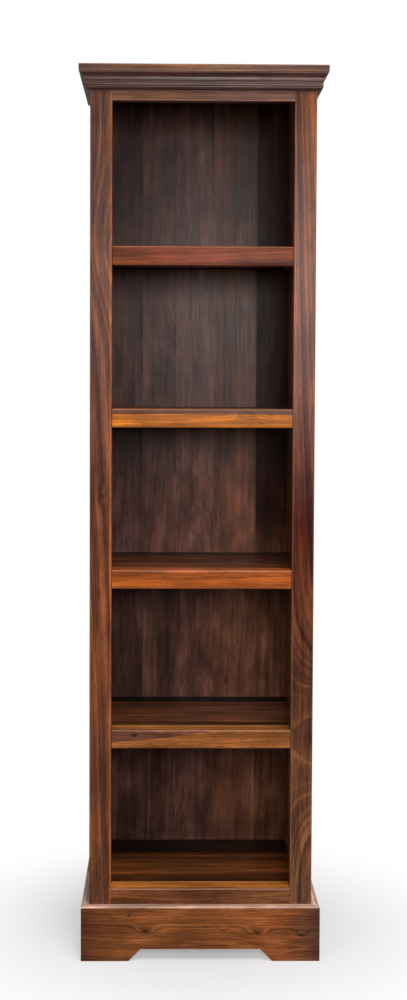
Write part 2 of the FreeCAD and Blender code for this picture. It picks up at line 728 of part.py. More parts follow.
def add_group(label, members):
    """Make one sub-part of several separate solids."""
    group = doc.addObject("Part::Compound", label)
    group.Label = label
    group.Links = members
    pieces.append(group)


def make_dowels():
    """Make the dowels between the posts and the top board."""
    dowels = []
    for side in (-1, 1):
        for across, along in DOWEL_PLACES:
            dowel = doc.addObject("Part::Cylinder", "top_dowel")
            bind(dowel, Radius="dowel_diameter / 2", Height="dowel_up + dowel_down")
            centre = across if side > 0 else f"-({across})"
            place(dowel, centre, along, f"{CARCASE_TOP} - dowel_down")
            dowels.append(dowel)
    add_group("top_dowels", dowels)


def make_screw(name, turn, centre, first_piece):
    """Make a round-headed screw; turn takes +Z, the way it points, to its real direction."""
    shank = doc.addObject("Part::Cylinder", f"{name}_shank")
    bind(shank, Radius="screw_diameter / 2", Height=f"{first_piece} + screw_grip")
    head = doc.addObject("Part::Cylinder", f"{name}_head")
    bind(head, Radius="screw_head / 2", Height="screw_head_height")
    away = turn.multVec(FreeCAD.Vector(0, 0, 1))
    for part, offset in ((shank, "0"), (head, "-screw_head_height")):
        part.Placement.Rotation = turn
        spot = [f"{middle} + ({offset}) * {round(shift)}" for middle, shift in zip(centre, away)]
        place(part, *spot)
    screw = doc.addObject("Part::MultiFuse", name)
    screw.Shapes = [shank, head]
    return screw


def make_screws():
    """Make the screws of the floor cleats and of the back boards."""
    up = FreeCAD.Rotation()
    low = f"{FLOOR_UNDER} - cleat_size"
    cleat = [
        make_screw("cleat_screw", up, (across, along, low), "cleat_size")
        for across, along in cleat_screw_places()
    ]
    add_group("cleat_screws", cleat)
    forward = FreeCAD.Rotation(FreeCAD.Vector(1, 0, 0), 90)
    rear = f"{BACK_FACE} + back_thickness"
    level = f"{FLOOR_UNDER} + board_thickness / 2"
    back = [
        make_screw("back_screw", forward, (across, rear, level), "back_thickness")
        for across in back_screw_places()
    ]
    add_group("back_screws", back)


def make_all():
    """Make every sub-part."""
    for side in (-1, 1):
        make_front_post(side)
        make_rear_post(side)
        make_side_rail(side, "top", SIDE_TOP_RAIL_LOW, CARCASE_TOP, "low")
        make_side_rail(side, "bottom", SIDE_BOTTOM_RAIL_LOW, SIDE_BOTTOM_RAIL_TOP, "high")
        make_side_panel(side)
    make_front_rail(*FRONT_RAILS[0])
    make_floor()
    for index in range(1, BACK_BOARDS + 1):
        make_back_board(index)
    make_top_board()
    make_cornice()
    make_plinth()
    for index in range(1, SHELVES + 1):
        make_shelf(index)
        for side in (-1, 1):
            make_pins(index, side)
    make_dowels()
    make_screws()


def export_all():
    """Check every object and write each sub-part to its own file."""
    doc.recompute()
    for item in doc.Objects:
        if any(state in ("Invalid", "Error") for state in item.State):
            raise RuntimeError(f"{item.Label} failed: {item.State}")
    for piece in pieces:
        if piece.Shape.isNull() or not piece.Shape.isValid():
            raise RuntimeError(f"{piece.Label} has no valid shape")
    os.makedirs("parts", exist_ok=True)
    for piece in pieces:
        piece.Shape.exportStep(f"parts/{piece.Label}.step")


make_all()
export_all()
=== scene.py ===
"""A slim rosewood bookcase with adjustable shelves, finished and set in a plain studio."""

import logging
import math
from dataclasses import dataclass, replace
from enum import Enum

import bpy
from mathutils import Matrix, Vector


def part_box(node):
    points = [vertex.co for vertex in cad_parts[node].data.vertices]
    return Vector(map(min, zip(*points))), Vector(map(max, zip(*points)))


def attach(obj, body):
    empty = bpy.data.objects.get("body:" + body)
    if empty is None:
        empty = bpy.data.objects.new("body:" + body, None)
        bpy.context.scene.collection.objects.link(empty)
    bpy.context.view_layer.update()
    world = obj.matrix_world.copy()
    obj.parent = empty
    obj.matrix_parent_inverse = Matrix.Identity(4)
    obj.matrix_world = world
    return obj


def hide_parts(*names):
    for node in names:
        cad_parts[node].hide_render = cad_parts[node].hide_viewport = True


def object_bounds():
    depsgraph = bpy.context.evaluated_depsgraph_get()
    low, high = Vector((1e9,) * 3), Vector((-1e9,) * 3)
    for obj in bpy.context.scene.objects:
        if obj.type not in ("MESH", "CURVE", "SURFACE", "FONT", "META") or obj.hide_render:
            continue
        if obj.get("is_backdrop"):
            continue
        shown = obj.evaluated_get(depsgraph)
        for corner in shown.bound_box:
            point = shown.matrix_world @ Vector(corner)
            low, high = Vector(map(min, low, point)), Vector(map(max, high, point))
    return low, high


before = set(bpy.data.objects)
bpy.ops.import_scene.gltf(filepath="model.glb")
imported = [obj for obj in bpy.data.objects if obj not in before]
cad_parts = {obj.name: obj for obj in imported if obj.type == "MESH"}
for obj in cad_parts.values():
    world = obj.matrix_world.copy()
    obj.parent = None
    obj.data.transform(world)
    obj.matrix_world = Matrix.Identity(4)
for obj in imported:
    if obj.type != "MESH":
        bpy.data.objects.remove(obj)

CAD_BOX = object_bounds()
LOG = logging.getLogger("bookcase")
MM = 0.001
SIDES = ("left", "right")

Tree = bpy.types.NodeTree
Node = bpy.types.Node
Socket = bpy.types.NodeSocket
Material = bpy.types.Material

# The kinds of node used most. RANGE moves input 0 from the range of inputs 1 and 2 to that of 3 and 4.
# MIX, for colours, takes a share in input 0 and the two colours in 6 and 7, and its output 2 is their blend.
MATH = "ShaderNodeMath"
VECTOR = "ShaderNodeVectorMath"
COMBINE = "ShaderNodeCombineXYZ"
SEPARATE = "ShaderNodeSeparateXYZ"
RANGE = "ShaderNodeMapRange"
MIX = "ShaderNodeMix"


def linear(colour: str) -> tuple[float, float, float, float]:
    """Turn an sRGB hex colour into linear light.

    Args:
        colour: six hex digits after a hash.

    Returns:
        Red, green and blue in linear light, and an alpha of one.
    """
    parts = [int(colour[start : start + 2], 16) / 255 for start in (1, 3, 5)]
    light = [part / 12.92 if part <= 0.04045 else ((part + 0.055) / 1.055) ** 2.4 for part in parts]
    return (*light, 1.0)


def add(
    tree: Tree,
    kind: str,
    inputs: dict | None = None,
    stops: list[tuple[float, tuple[float, ...]]] | None = None,
    **settings: object,
) -> Node:
    """Add one node with its settings, and its inputs set or linked.

    Args:
        tree: the tree to add to.
        kind: the node's type name.
        inputs: a value or an output socket for each input, by name or number.
        stops: the places and linear colours of a colour ramp, where the node is one.
        **settings: the node's own properties.

    Returns:
        The new node.
    """
    node = tree.nodes.new(kind)
    for name, value in settings.items():
        setattr(node, name, value)
    for key, value in (inputs or {}).items():
        if isinstance(value, Socket):
            tree.links.new(value, node.inputs[key])
        else:
            node.inputs[key].default_value = value
    if stops:
        elements = node.color_ramp.elements
        while len(elements) > len(stops):
            elements.remove(elements[-1])
        while len(elements) < len(stops):
            elements.new(0.5)
        for element, (position, colour) in zip(elements, sorted(stops)):
            element.position = min(max(position, 0.0), 1.0)
            element.color = (*colour, 1.0)
    return node


def blank_material(name: str) -> Material:
    """Make a new node material with nothing in its tree.

    Args:
        name: the material's name.

    Returns:
        The material.
    """
    material = bpy.data.materials.new(name)
    material.use_nodes = True
    material.node_tree.nodes.clear()
    return material


class Lay(Enum):
    """How a board lies: the axes across its show face, into it, and along its grain."""

    RAIL = "ZYX"
    UPRIGHT = "XYZ"
    SHELF = "YZX"
    SIDE_RAIL = "ZXY"
    SIDE_UPRIGHT = "YXZ"


@dataclass(frozen=True)
class Knot:
    """A knot or swirl on a board's show face.

    Attributes:
        along: place along the grain from the board's middle, in millimetres.
        across: place across the face from the board's middle, in millimetres.
        size: radius of the knot, in millimetres.
        heart: how dark its heart is, from nothing for a swirl to one.
    """

    along: float
    across: float
    size: float
    heart: float = 0.9


@dataclass(frozen=True)
class Tone:
    """The ground colour at one place along a board.

    Attributes:
        along: the place, in millimetres from the board's middle.
        colour: the colour there.
        gain: how much lighter than that colour it is drawn, which on the back boards is painted light and shade by
            height.
    """

    along: float
    colour: str
    gain: float = 1.0


@dataclass(frozen=True)
class Band:
    """Another colour on one side of a plane through a board: sapwood and heartwood, and on some boards painted shade
    and painted highlights.

    Attributes:
        across, into, along: the plane's direction, pointing into the band.
        level: where the plane is, in millimetres from the board's middle along that direction.
        colour: the band's ground colour.
        waver: how far the edge wanders, in millimetres.
        soft: how far the colours blend on each side of the edge, in millimetres.
    """

    across: float
    into: float
    along: float
    level: float
    colour: str
    waver: float = 7.0
    soft: float = 1.2


@dataclass(frozen=True)
class Streaks:
    """Streaks or blotches drawn out along the grain.

    Attributes:
        count: how many there are in a metre across the grain.
        stretch: how many there are along the grain for each one across it.
        detail: how many layers of finer ones are added.
        low, high: the part of the pattern's range that is used.
    """

    count: float
    stretch: float
    detail: float
    low: float = 0.36
    high: float = 0.64


FIBRES = Streaks(560.0, 0.022, 3.0, 0.32, 0.68)  # 1.8 mm wide and 80 mm long, coarser than real ones, to show
PORES = Streaks(950.0, 0.05, 1.0, 0.58, 0.69)  # 1 mm wide and 21 mm long, coarser than real ones, to show
MOTTLE = Streaks(95.0, 0.045, 2.0, 0.3, 0.7)  # 11 mm wide and 230 mm long
CLOUDS = Streaks(26.0, 0.55, 3.0)  # 38 mm wide and 70 mm long
SHADING = Streaks(16.0, 0.25, 2.0)  # 63 mm wide and 250 mm long
PLANING = Streaks(30.0, 0.5, 1.0)  # swells 33 mm wide and 67 mm long

SHADING_DEPTH = 0.34  # how far the slow shading lightens and darkens the wood
PORE_DEPTH = 0.6  # how much of the pores' dark filling shows
# The pale pink laid along every long edge is partly wear and partly a painted highlight.
HEART_COLOUR, PORE_COLOUR, RUB_AND_HIGHLIGHT_COLOUR = "#21120d", "#1c0f0a", "#c08a6c"
HEART_SPREAD, SWIRL_SPREAD = 0.8, 2.0  # radius of a knot's dark heart, and of its bent grain, over its size
SWIRL_HEIGHT = 1.3  # how far the rings are pushed out at a knot, over its size
RUB_HIGHLIGHT_FROM, RUB_HIGHLIGHT_TO = 1.0 * MM, 3.4 * MM  # from an edge, the wear and painted highlight fade from the first to the second

BENDS = ((6.0, 2.2), (38.0, 0.3))  # bends of the grain in a metre, and their reach over the board's wander
BAND_BENDS = 14.0  # bends of a band's edge in a metre
BEND_STRETCH = 0.16  # bends along the grain for each one across it

SEED_SHIFT = (0.371, 0.217, 1.913)  # how far one step of the seed moves the patterns, in metres
STAVE_SHIFT = (0.9, 0.5, 3.0)  # how far the patterns move from strip to strip, in metres
STAVE_PITH = (0.16, 0.09, 0.0)  # how far the heart of the tree moves from strip to strip, in metres
STAVE_SEED, RING_SEED = 7.3, 13.7  # how far one step of the seed moves the strips' numbers and the rings

# The gains of red, green and blue in veins, plain wood and bright growth, and their places in the pattern.
VEIN_DARK, VEIN_PLAIN, VEIN_BRIGHT = (0.20, 0.16, 0.20), (0.84, 0.80, 0.82), (1.75, 1.75, 1.45)
VEIN_STEPS = (
    (0.33, VEIN_DARK),
    (0.44, VEIN_PLAIN),
    (0.50, VEIN_PLAIN),
    (0.60, VEIN_BRIGHT),
    (0.72, VEIN_PLAIN),
)


@dataclass(frozen=True)
class Rosewood:
    """Indian rosewood, planed, sanded and sprayed with satin lacquer.

    The eye sees irregular dark veins in a brown ground, cathedral figure where a board is cut beside the
    heart, fine long pores, paler sapwood on some edges, long edges paler from wear and a painted highlight, and a
    soft gloss.

    Attributes:
        name: the material's name.
        lay: how the board lies.
        tones: ground colours along the board.
        veins: how strongly the veins show, from nothing to one.
        pitch: the usual distance between veins, in millimetres.
        pith: where the heart of the tree lies, across and into the board, in millimetres.
        lean: how far the growth rings lean for each unit along the grain.
        wander: how far the grain strays from straight, in millimetres.
        seed: the board's own number, which moves every pattern.
        knots: its knots and swirls.
        bands: its paler or darker edges: sapwood and heartwood, and on some boards painted shade and painted
            highlights.
        stave: width of the strips it is glued up from, in millimetres, or nothing.
        stave_tone: how far the strips differ in tone.
        mottle: how far broad streaks differ in tone.
        cloud: how far blotches about 40 mm wide differ in tone.
        fibre: how far the finest streaks differ in tone.
        rub_and_highlight: how much paler its long edges are drawn, partly as wear and partly as a painted highlight.
        roughness: of the lacquer.
        gloss: how strongly the lacquer mirrors the room.
    """

    name: str
    lay: Lay = Lay.RAIL
    tones: tuple[Tone, ...] = (Tone(0.0, "#704632"),)
    veins: float = 0.8
    pitch: float = 9.0
    pith: tuple[float, float] = (40.0, 120.0)
    lean: float = 0.01
    wander: float = 9.0
    seed: float = 1.0
    knots: tuple[Knot, ...] = ()
    bands: tuple[Band, ...] = ()
    stave: float = 0.0
    stave_tone: float = 0.0
    mottle: float = 0.25
    cloud: float = 0.15
    fibre: float = 0.28
    rub_and_highlight: float = 0.4
    roughness: float = 0.27
    gloss: float = 0.2

    def material(self, low: Vector, high: Vector) -> Material:
        """Write the material for one board.

        Args:
            low: lowest corner of the board's box, in metres.
            high: highest corner of the board's box, in metres.

        Returns:
            The finished material.
        """
        made = blank_material(self.name)
        tree = made.node_tree
        across, into, along = self._directions(tree, (low + high) / 2)
        place = add(tree, COMBINE, {0: across, 1: into, 2: along}).outputs[0]
        stave = self._stave_number(tree, across)
        seeded = self._seeded(tree, place, stave)
        fibre = self._streaks(tree, seeded, FIBRES)
        overlays = [(self._band_mask(tree, place, seeded, band), band.colour) for band in self.bands]
        colour = self._overlaid(tree, self._ground(tree, along, high - low), overlays)
        veins = self._vein_gain(tree, self._rings(tree, place, seeded, stave))
        for gain in (veins, self._slow_tone(tree, seeded, stave)):
            colour = add(tree, VECTOR, {0: colour, 1: gain}, operation="MULTIPLY").outputs[0]
        dark = [knot for knot in self.knots if knot.heart]
        hearts = [(self._mound(tree, place, knot, HEART_SPREAD, knot.heart), HEART_COLOUR) for knot in dark]
        colour = self._overlaid(tree, colour, hearts)
        lines = {0: fibre, 1: FIBRES.low, 2: FIBRES.high, 3: 1 - self.fibre, 4: 1 + self.fibre}
        drawn = add(tree, RANGE, lines).outputs[0]
        colour = add(tree, VECTOR, {0: colour, 1: drawn}, operation="MULTIPLY").outputs[0]
        specks = {0: self._streaks(tree, seeded, PORES), 1: PORES.low, 2: PORES.high, 3: 0.0, 4: PORE_DEPTH}
        pores = add(tree, RANGE, specks).outputs[0]
        # Paler long edges: wear, and a painted highlight along the arrises.
        highlight_and_wear = self._rubbed_and_lit_edges(tree, across, into, high - low, fibre)
        colour = self._overlaid(tree, colour, [(pores, PORE_COLOUR), (highlight_and_wear, RUB_AND_HIGHLIGHT_COLOUR)])
        self._lacquer(tree, colour, fibre, seeded)
        return made

    def _directions(self, tree: Tree, middle: Vector) -> list[Socket]:
        """Find the place on the board from its middle, across, into and along it.

        Args:
            tree: the tree to add to.
            middle: the middle of the board, in metres.

        Returns:
            The three distances, in metres.
        """
        source = add(tree, "ShaderNodeTexCoord").outputs["Object"]
        centred = add(tree, "ShaderNodeMapping", {"Vector": source, "Location": -middle})
        split = add(tree, SEPARATE, {0: centred.outputs[0]})
        return [split.outputs[axis] for axis in self.lay.value]

    def _stave_number(self, tree: Tree, across: Socket) -> Socket | None:
        """Draw a random colour that is constant over each glued strip.

        Args:
            tree: the tree to add to.
            across: the place across the board.

        Returns:
            The colour, or nothing for a board in one piece.
        """
        if not self.stave:
            return None
        share = {0: across, 1: 1 / (self.stave * MM), 2: self.seed * STAVE_SEED}
        counted = add(tree, MATH, share, operation="MULTIPLY_ADD").outputs[0]
        whole = add(tree, MATH, {0: counted}, operation="FLOOR").outputs[0]
        return add(tree, "ShaderNodeTexWhiteNoise", {"W": whole}, noise_dimensions="1D").outputs["Color"]

    def _seeded(self, tree: Tree, place: Socket, stave: Socket | None) -> Socket:
        """Shift the place so that each board, and each strip glued into it, has its own figure.

        Args:
            tree: the tree to add to.
            place: the place on the board.
            stave: the strip's random colour, or nothing.

        Returns:
            The shifted place.
        """
        shift = tuple(self.seed * step for step in SEED_SHIFT)
        moved = add(tree, VECTOR, {0: place, 1: shift}, operation="ADD").outputs[0]
        if stave is None:
            return moved
        step = add(tree, VECTOR, {0: stave, 1: STAVE_SHIFT}, operation="MULTIPLY").outputs[0]
        return add(tree, VECTOR, {0: moved, 1: step}, operation="ADD").outputs[0]

    def _streaks(self, tree: Tree, seeded: Socket, streaks: Streaks) -> Socket:
        """Draw a pattern out along the grain.

        Args:
            tree: the tree to add to.
            seeded: the place on the board.
            streaks: the pattern's sizes.

        Returns:
            The pattern, about a half.
        """
        stretch = {0: seeded, 1: (1.0, 1.0, streaks.stretch)}
        drawn = add(tree, VECTOR, stretch, operation="MULTIPLY").outputs[0]
        noise = {"Vector": drawn, "Scale": streaks.count, "Detail": streaks.detail, "Roughness": 0.6}
        return add(tree, "ShaderNodeTexNoise", noise, noise_dimensions="3D").outputs[0]

    def _overlaid(self, tree: Tree, colour: Socket, overlays: list[tuple[Socket, str]]) -> Socket:
        """Lay colours over a colour, one after another: marks of the wood, and painted highlights and shade.

        Args:
            tree: the tree to add to.
            colour: the colour under them.
            overlays: how much of each overlay shows, and its hex colour.

        Returns:
            The colour with the overlays laid on.
        """
        for share, overlay_colour in overlays:
            colour = add(tree, MIX, {0: share, 6: colour, 7: linear(overlay_colour)}, data_type="RGBA").outputs[2]
        return colour

    def _warp(self, tree: Tree, seeded: Socket, count: float, reach: float) -> Socket:
        """Bend the grain, with bends that are long along it and short across it.

        Args:
            tree: the tree to add to.
            seeded: the place on the board.
            count: bends in a metre across the grain.
            reach: how far they reach, in millimetres.

        Returns:
            The shift of the grain, in metres.
        """
        stretch = {0: seeded, 1: (1.0, 1.0, BEND_STRETCH)}
        drawn = add(tree, VECTOR, stretch, operation="MULTIPLY").outputs[0]
        noise = {"Vector": drawn, "Scale": count, "Detail": 0.6, "Roughness": 0.5}
        cloud = add(tree, "ShaderNodeTexNoise", noise, noise_dimensions="3D").outputs["Color"]
        centred = add(tree, VECTOR, {0: cloud, 1: (0.5, 0.5, 0.5)}, operation="SUBTRACT").outputs[0]
        sized = {0: centred, 1: (reach * MM, reach * MM, 0.0)}
        return add(tree, VECTOR, sized, operation="MULTIPLY").outputs[0]

    def _rings(self, tree: Tree, place: Socket, seeded: Socket, stave: Socket | None) -> Socket:
        """Count the veins between the heart of the tree and each place on the board.

        Args:
            tree: the tree to add to.
            place: the place on the board.
            seeded: the place, shifted for this board.
            stave: the strip's random colour, or nothing.

        Returns:
            The number of veins, which is not a whole one.
        """
        shifts = [self._warp(tree, seeded, count, self.wander * reach) for count, reach in BENDS]
        if stave is not None:
            shifts.append(add(tree, VECTOR, {0: stave, 1: STAVE_PITH}, operation="MULTIPLY").outputs[0])
        bent = place
        for shift in shifts:
            bent = add(tree, VECTOR, {0: bent, 1: shift}, operation="ADD").outputs[0]
        heart = (self.pith[0] * MM, self.pith[1] * MM, 0.0)
        offset = add(tree, VECTOR, {0: bent, 1: heart}, operation="SUBTRACT").outputs[0]
        flat = add(tree, VECTOR, {0: offset, 1: (1.0, 1.0, 0.0)}, operation="MULTIPLY").outputs[0]
        radius = add(tree, VECTOR, {0: flat}, operation="LENGTH").outputs["Value"]
        along = add(tree, SEPARATE, {0: place}).outputs[2]
        total = add(tree, MATH, {0: along, 1: self.lean, 2: radius}, operation="MULTIPLY_ADD").outputs[0]
        for knot in self.knots:
            mound = self._mound(tree, place, knot, SWIRL_SPREAD, knot.size * SWIRL_HEIGHT * MM)
            total = add(tree, MATH, {0: total, 1: mound}, operation="ADD").outputs[0]
        counted = {0: total, 1: 1 / (self.pitch * MM), 2: self.seed * RING_SEED}
        return add(tree, MATH, counted, operation="MULTIPLY_ADD").outputs[0]

    def _mound(self, tree: Tree, place: Socket, knot: Knot, spread: float, height: float) -> Socket:
        """Raise a smooth oval mound at a knot, twice as long as it is wide.

        Args:
            tree: the tree to add to.
            place: the place on the board.
            knot: the knot.
            spread: the mound's radius over the knot's.
            height: the mound's height at the knot's heart.

        Returns:
            The height of the mound.
        """
        middle = (knot.across * MM, 0.0, knot.along * MM)
        offset = add(tree, VECTOR, {0: place, 1: middle}, operation="SUBTRACT").outputs[0]
        reach = knot.size * spread * MM
        oval = {0: offset, 1: (1 / reach, 0.0, 0.5 / reach)}
        shaped = add(tree, VECTOR, oval, operation="MULTIPLY").outputs[0]
        square = add(tree, VECTOR, {0: shaped, 1: shaped}, operation="DOT_PRODUCT").outputs["Value"]
        fall = add(tree, MATH, {0: math.exp(-1), 1: square}, operation="POWER").outputs[0]
        return add(tree, MATH, {0: fall, 1: height}, operation="MULTIPLY").outputs[0]

    def _ground(self, tree: Tree, along: Socket, size: Vector) -> Socket:
        """Colour the ground, which changes slowly along the board.

        Args:
            tree: the tree to add to.
            along: the place along the board.
            size: the size of the board's box, in metres.

        Returns:
            The ground colour.
        """
        half = size["XYZ".index(self.lay.value[2])] / 2
        share = add(tree, RANGE, {0: along, 1: -half, 2: half, 3: 0.0, 4: 1.0}).outputs[0]
        stops = []
        for tone in self.tones:
            light = tuple(part * tone.gain for part in linear(tone.colour)[:3])
            stops.append(((tone.along * MM + half) / (2 * half), light))
        return add(tree, "ShaderNodeValToRGB", {0: share}, stops).outputs[0]

    def _vein_gain(self, tree: Tree, rings: Socket) -> Socket:
        """Darken the ground colour in the veins, and lighten it in the growth between them.

        Args:
            tree: the tree to add to.
            rings: how many veins out from the heart each place is.

        Returns:
            The gain for each part of the colour.
        """
        noise = {"W": rings, "Scale": 1.0, "Detail": 5.0, "Roughness": 0.72}
        strength = add(tree, "ShaderNodeTexNoise", noise, noise_dimensions="1D").outputs[0]
        stops = [(place, tuple(1 + self.veins * (part - 1) for part in gain)) for place, gain in VEIN_STEPS]
        return add(tree, "ShaderNodeValToRGB", {0: strength}, stops).outputs[0]

    def _slow_tone(self, tree: Tree, seeded: Socket, stave: Socket | None) -> Socket:
        """Lighten and darken the wood slowly, and from strip to strip.

        Args:
            tree: the tree to add to.
            seeded: the place on the board.
            stave: the strip's random colour, or nothing.

        Returns:
            The gain.
        """
        gains = []
        for streaks, depth in ((SHADING, SHADING_DEPTH), (MOTTLE, self.mottle), (CLOUDS, self.cloud)):
            drawn = self._streaks(tree, seeded, streaks)
            spread = {0: drawn, 1: streaks.low, 2: streaks.high, 3: 1 - depth, 4: 1 + depth}
            gains.append(add(tree, RANGE, spread).outputs[0])
        if stave is not None:
            random = add(tree, SEPARATE, {0: stave}).outputs[2]
            tones = {0: random, 1: 0.0, 2: 1.0, 3: 1 - self.stave_tone, 4: 1 + self.stave_tone}
            gains.append(add(tree, RANGE, tones).outputs[0])
        whole = gains[0]
        for gain in gains[1:]:
            whole = add(tree, MATH, {0: whole, 1: gain}, operation="MULTIPLY").outputs[0]
        return whole

    def _rubbed_and_lit_edges(self, tree: Tree, across: Socket, into: Socket, size: Vector, fibre: Socket) -> Socket:
        """Pale the long edges, over about 3 mm and unevenly: wear from handling, and a painted highlight.

        Args:
            tree: the tree to add to.
            across: the place across the board.
            into: the place into the board.
            size: the size of the board's box, in metres.
            fibre: the pattern of the fibres.

        Returns:
            How much of the pale edge colour, wear and painted highlight, each place takes.
        """
        gaps = []
        for value, axis in ((across, self.lay.value[0]), (into, self.lay.value[1])):
            half = size["XYZ".index(axis)] / 2
            away = add(tree, MATH, {0: value}, operation="ABSOLUTE").outputs[0]
            gaps.append(add(tree, RANGE, {0: away, 1: 0.0, 2: half, 3: half, 4: 0.0}).outputs[0])
        corner = add(tree, COMBINE, {0: gaps[0], 1: gaps[1]}).outputs[0]
        gap = add(tree, VECTOR, {0: corner}, operation="LENGTH").outputs["Value"]
        worn_and_highlit = add(tree, RANGE, {0: gap, 1: RUB_HIGHLIGHT_FROM, 2: RUB_HIGHLIGHT_TO, 3: self.rub_and_highlight, 4: 0.0}).outputs[0]
        return add(tree, MATH, {0: worn_and_highlit, 1: fibre}, operation="MULTIPLY").outputs[0]

    def _band_mask(self, tree: Tree, place: Socket, seeded: Socket, band: Band) -> Socket:
        """Mark a band, with a wavering edge.

        Args:
            tree: the tree to add to.
            place: the place on the board.
            seeded: the place, shifted for this board.
            band: the band.

        Returns:
            One in the band and nothing outside it.
        """
        waver = self._warp(tree, seeded, BAND_BENDS, 2 * band.waver)
        moved = add(tree, VECTOR, {0: place, 1: waver}, operation="ADD").outputs[0]
        plane = {0: moved, 1: (band.across, band.into, band.along)}
        height = add(tree, VECTOR, plane, operation="DOT_PRODUCT").outputs["Value"]
        low, high = (band.level - band.soft) * MM, (band.level + band.soft) * MM
        return add(tree, RANGE, {0: height, 1: low, 2: high, 3: 0.0, 4: 1.0}).outputs[0]

    def _lacquer(self, tree: Tree, colour: Socket, fibre: Socket, seeded: Socket) -> None:
        """Lay the satin lacquer, duller over the open fibres, with the planing and the grain just felt.

        Args:
            tree: the tree to add to.
            colour: the colour of the wood.
            fibre: the pattern of the fibres.
            seeded: the place on the board.
        """
        dull = {0: fibre, 1: FIBRES.low, 2: FIBRES.high, 3: self.roughness - 0.05, 4: self.roughness + 0.07}
        felt = {"Height": fibre, "Strength": 0.2, "Distance": 0.3 * MM}
        relief = add(tree, "ShaderNodeBump", felt).outputs[0]
        swell = self._streaks(tree, seeded, PLANING)
        planed = {"Height": swell, "Strength": 0.4, "Distance": 1.2 * MM, "Normal": relief}
        skin = {
            "Base Color": colour,
            "Roughness": add(tree, RANGE, dull).outputs[0],
            "IOR": 1.5,
            "Specular IOR Level": self.gloss,
            "Normal": add(tree, "ShaderNodeBump", planed).outputs[0],
        }
        shader = add(tree, "ShaderNodeBsdfPrincipled", skin)
        add(tree, "ShaderNodeOutputMaterial", {"Surface": shader.outputs[0]})


@dataclass(frozen=True)
class PlatedSteel:
    """Mild steel, turned and then plated: faintly mottled and a little dull.

    Attributes:
        name: the material's name.
        pale, dull: the two colours that the plating's crystals mix.
        roughness: of the plating.
    """

    name: str
    pale: str
    dull: str
    roughness: float

    def material(self) -> Material:
        """Write the material, with crystals about 1 mm across, which is coarser than real ones, to show.

        Returns:
            The finished material.
        """
        made = blank_material(self.name)
        tree = made.node_tree
        source = add(tree, "ShaderNodeTexCoord").outputs["Object"]
        noise = {"Vector": source, "Scale": 1 / MM, "Detail": 2.0}
        crystals = add(tree, "ShaderNodeTexNoise", noise).outputs[0]
        colours = {0: crystals, 6: linear(self.pale), 7: linear(self.dull)}
        dull = {0: crystals, 1: 0.3, 2: 0.7, 3: self.roughness - 0.08, 4: self.roughness + 0.1}
        relief = {"Height": crystals, "Strength": 0.1, "Distance": 0.05 * MM}
        skin = {
            "Base Color": add(tree, MIX, colours, data_type="RGBA").outputs[2],
            "Metallic": 1.0,
            "Roughness": add(tree, RANGE, dull).outputs[0],
            "Normal": add(tree, "ShaderNodeBump", relief).outputs[0],
        }
        shader = add(tree, "ShaderNodeBsdfPrincipled", skin)
        add(tree, "ShaderNodeOutputMaterial", {"Surface": shader.outputs[0]})
        return made


ZINC_STEEL = PlatedSteel("zinc_plated_steel", "#c6c5c0", "#96948d", 0.34)
BRONZED_STEEL = PlatedSteel("bronzed_steel", "#5d4a3a", "#3a2e26", 0.42)


@dataclass(frozen=True)
class BareHardwood:
    """Plain sawn hardwood, left unfinished inside the piece: pale brown, straight in the grain, matt.

    Attributes:
        name: the material's name.
        lay: how the strip lies.
    """

    name: str
    lay: Lay = Lay.SIDE_RAIL

    def material(self, low: Vector, high: Vector) -> Material:
        """Write the material for one strip.

        Args:
            low: lowest corner of the strip's box, in metres.
            high: highest corner of the strip's box, in metres.

        Returns:
            The finished material.
        """
        tones = (Tone(0.0, "#8f6b49"),)
        plain = Rosewood(self.name, self.lay, tones, veins=0.35, pitch=5.0, seed=31.0, roughness=0.62)
        return plain.material(low, high)


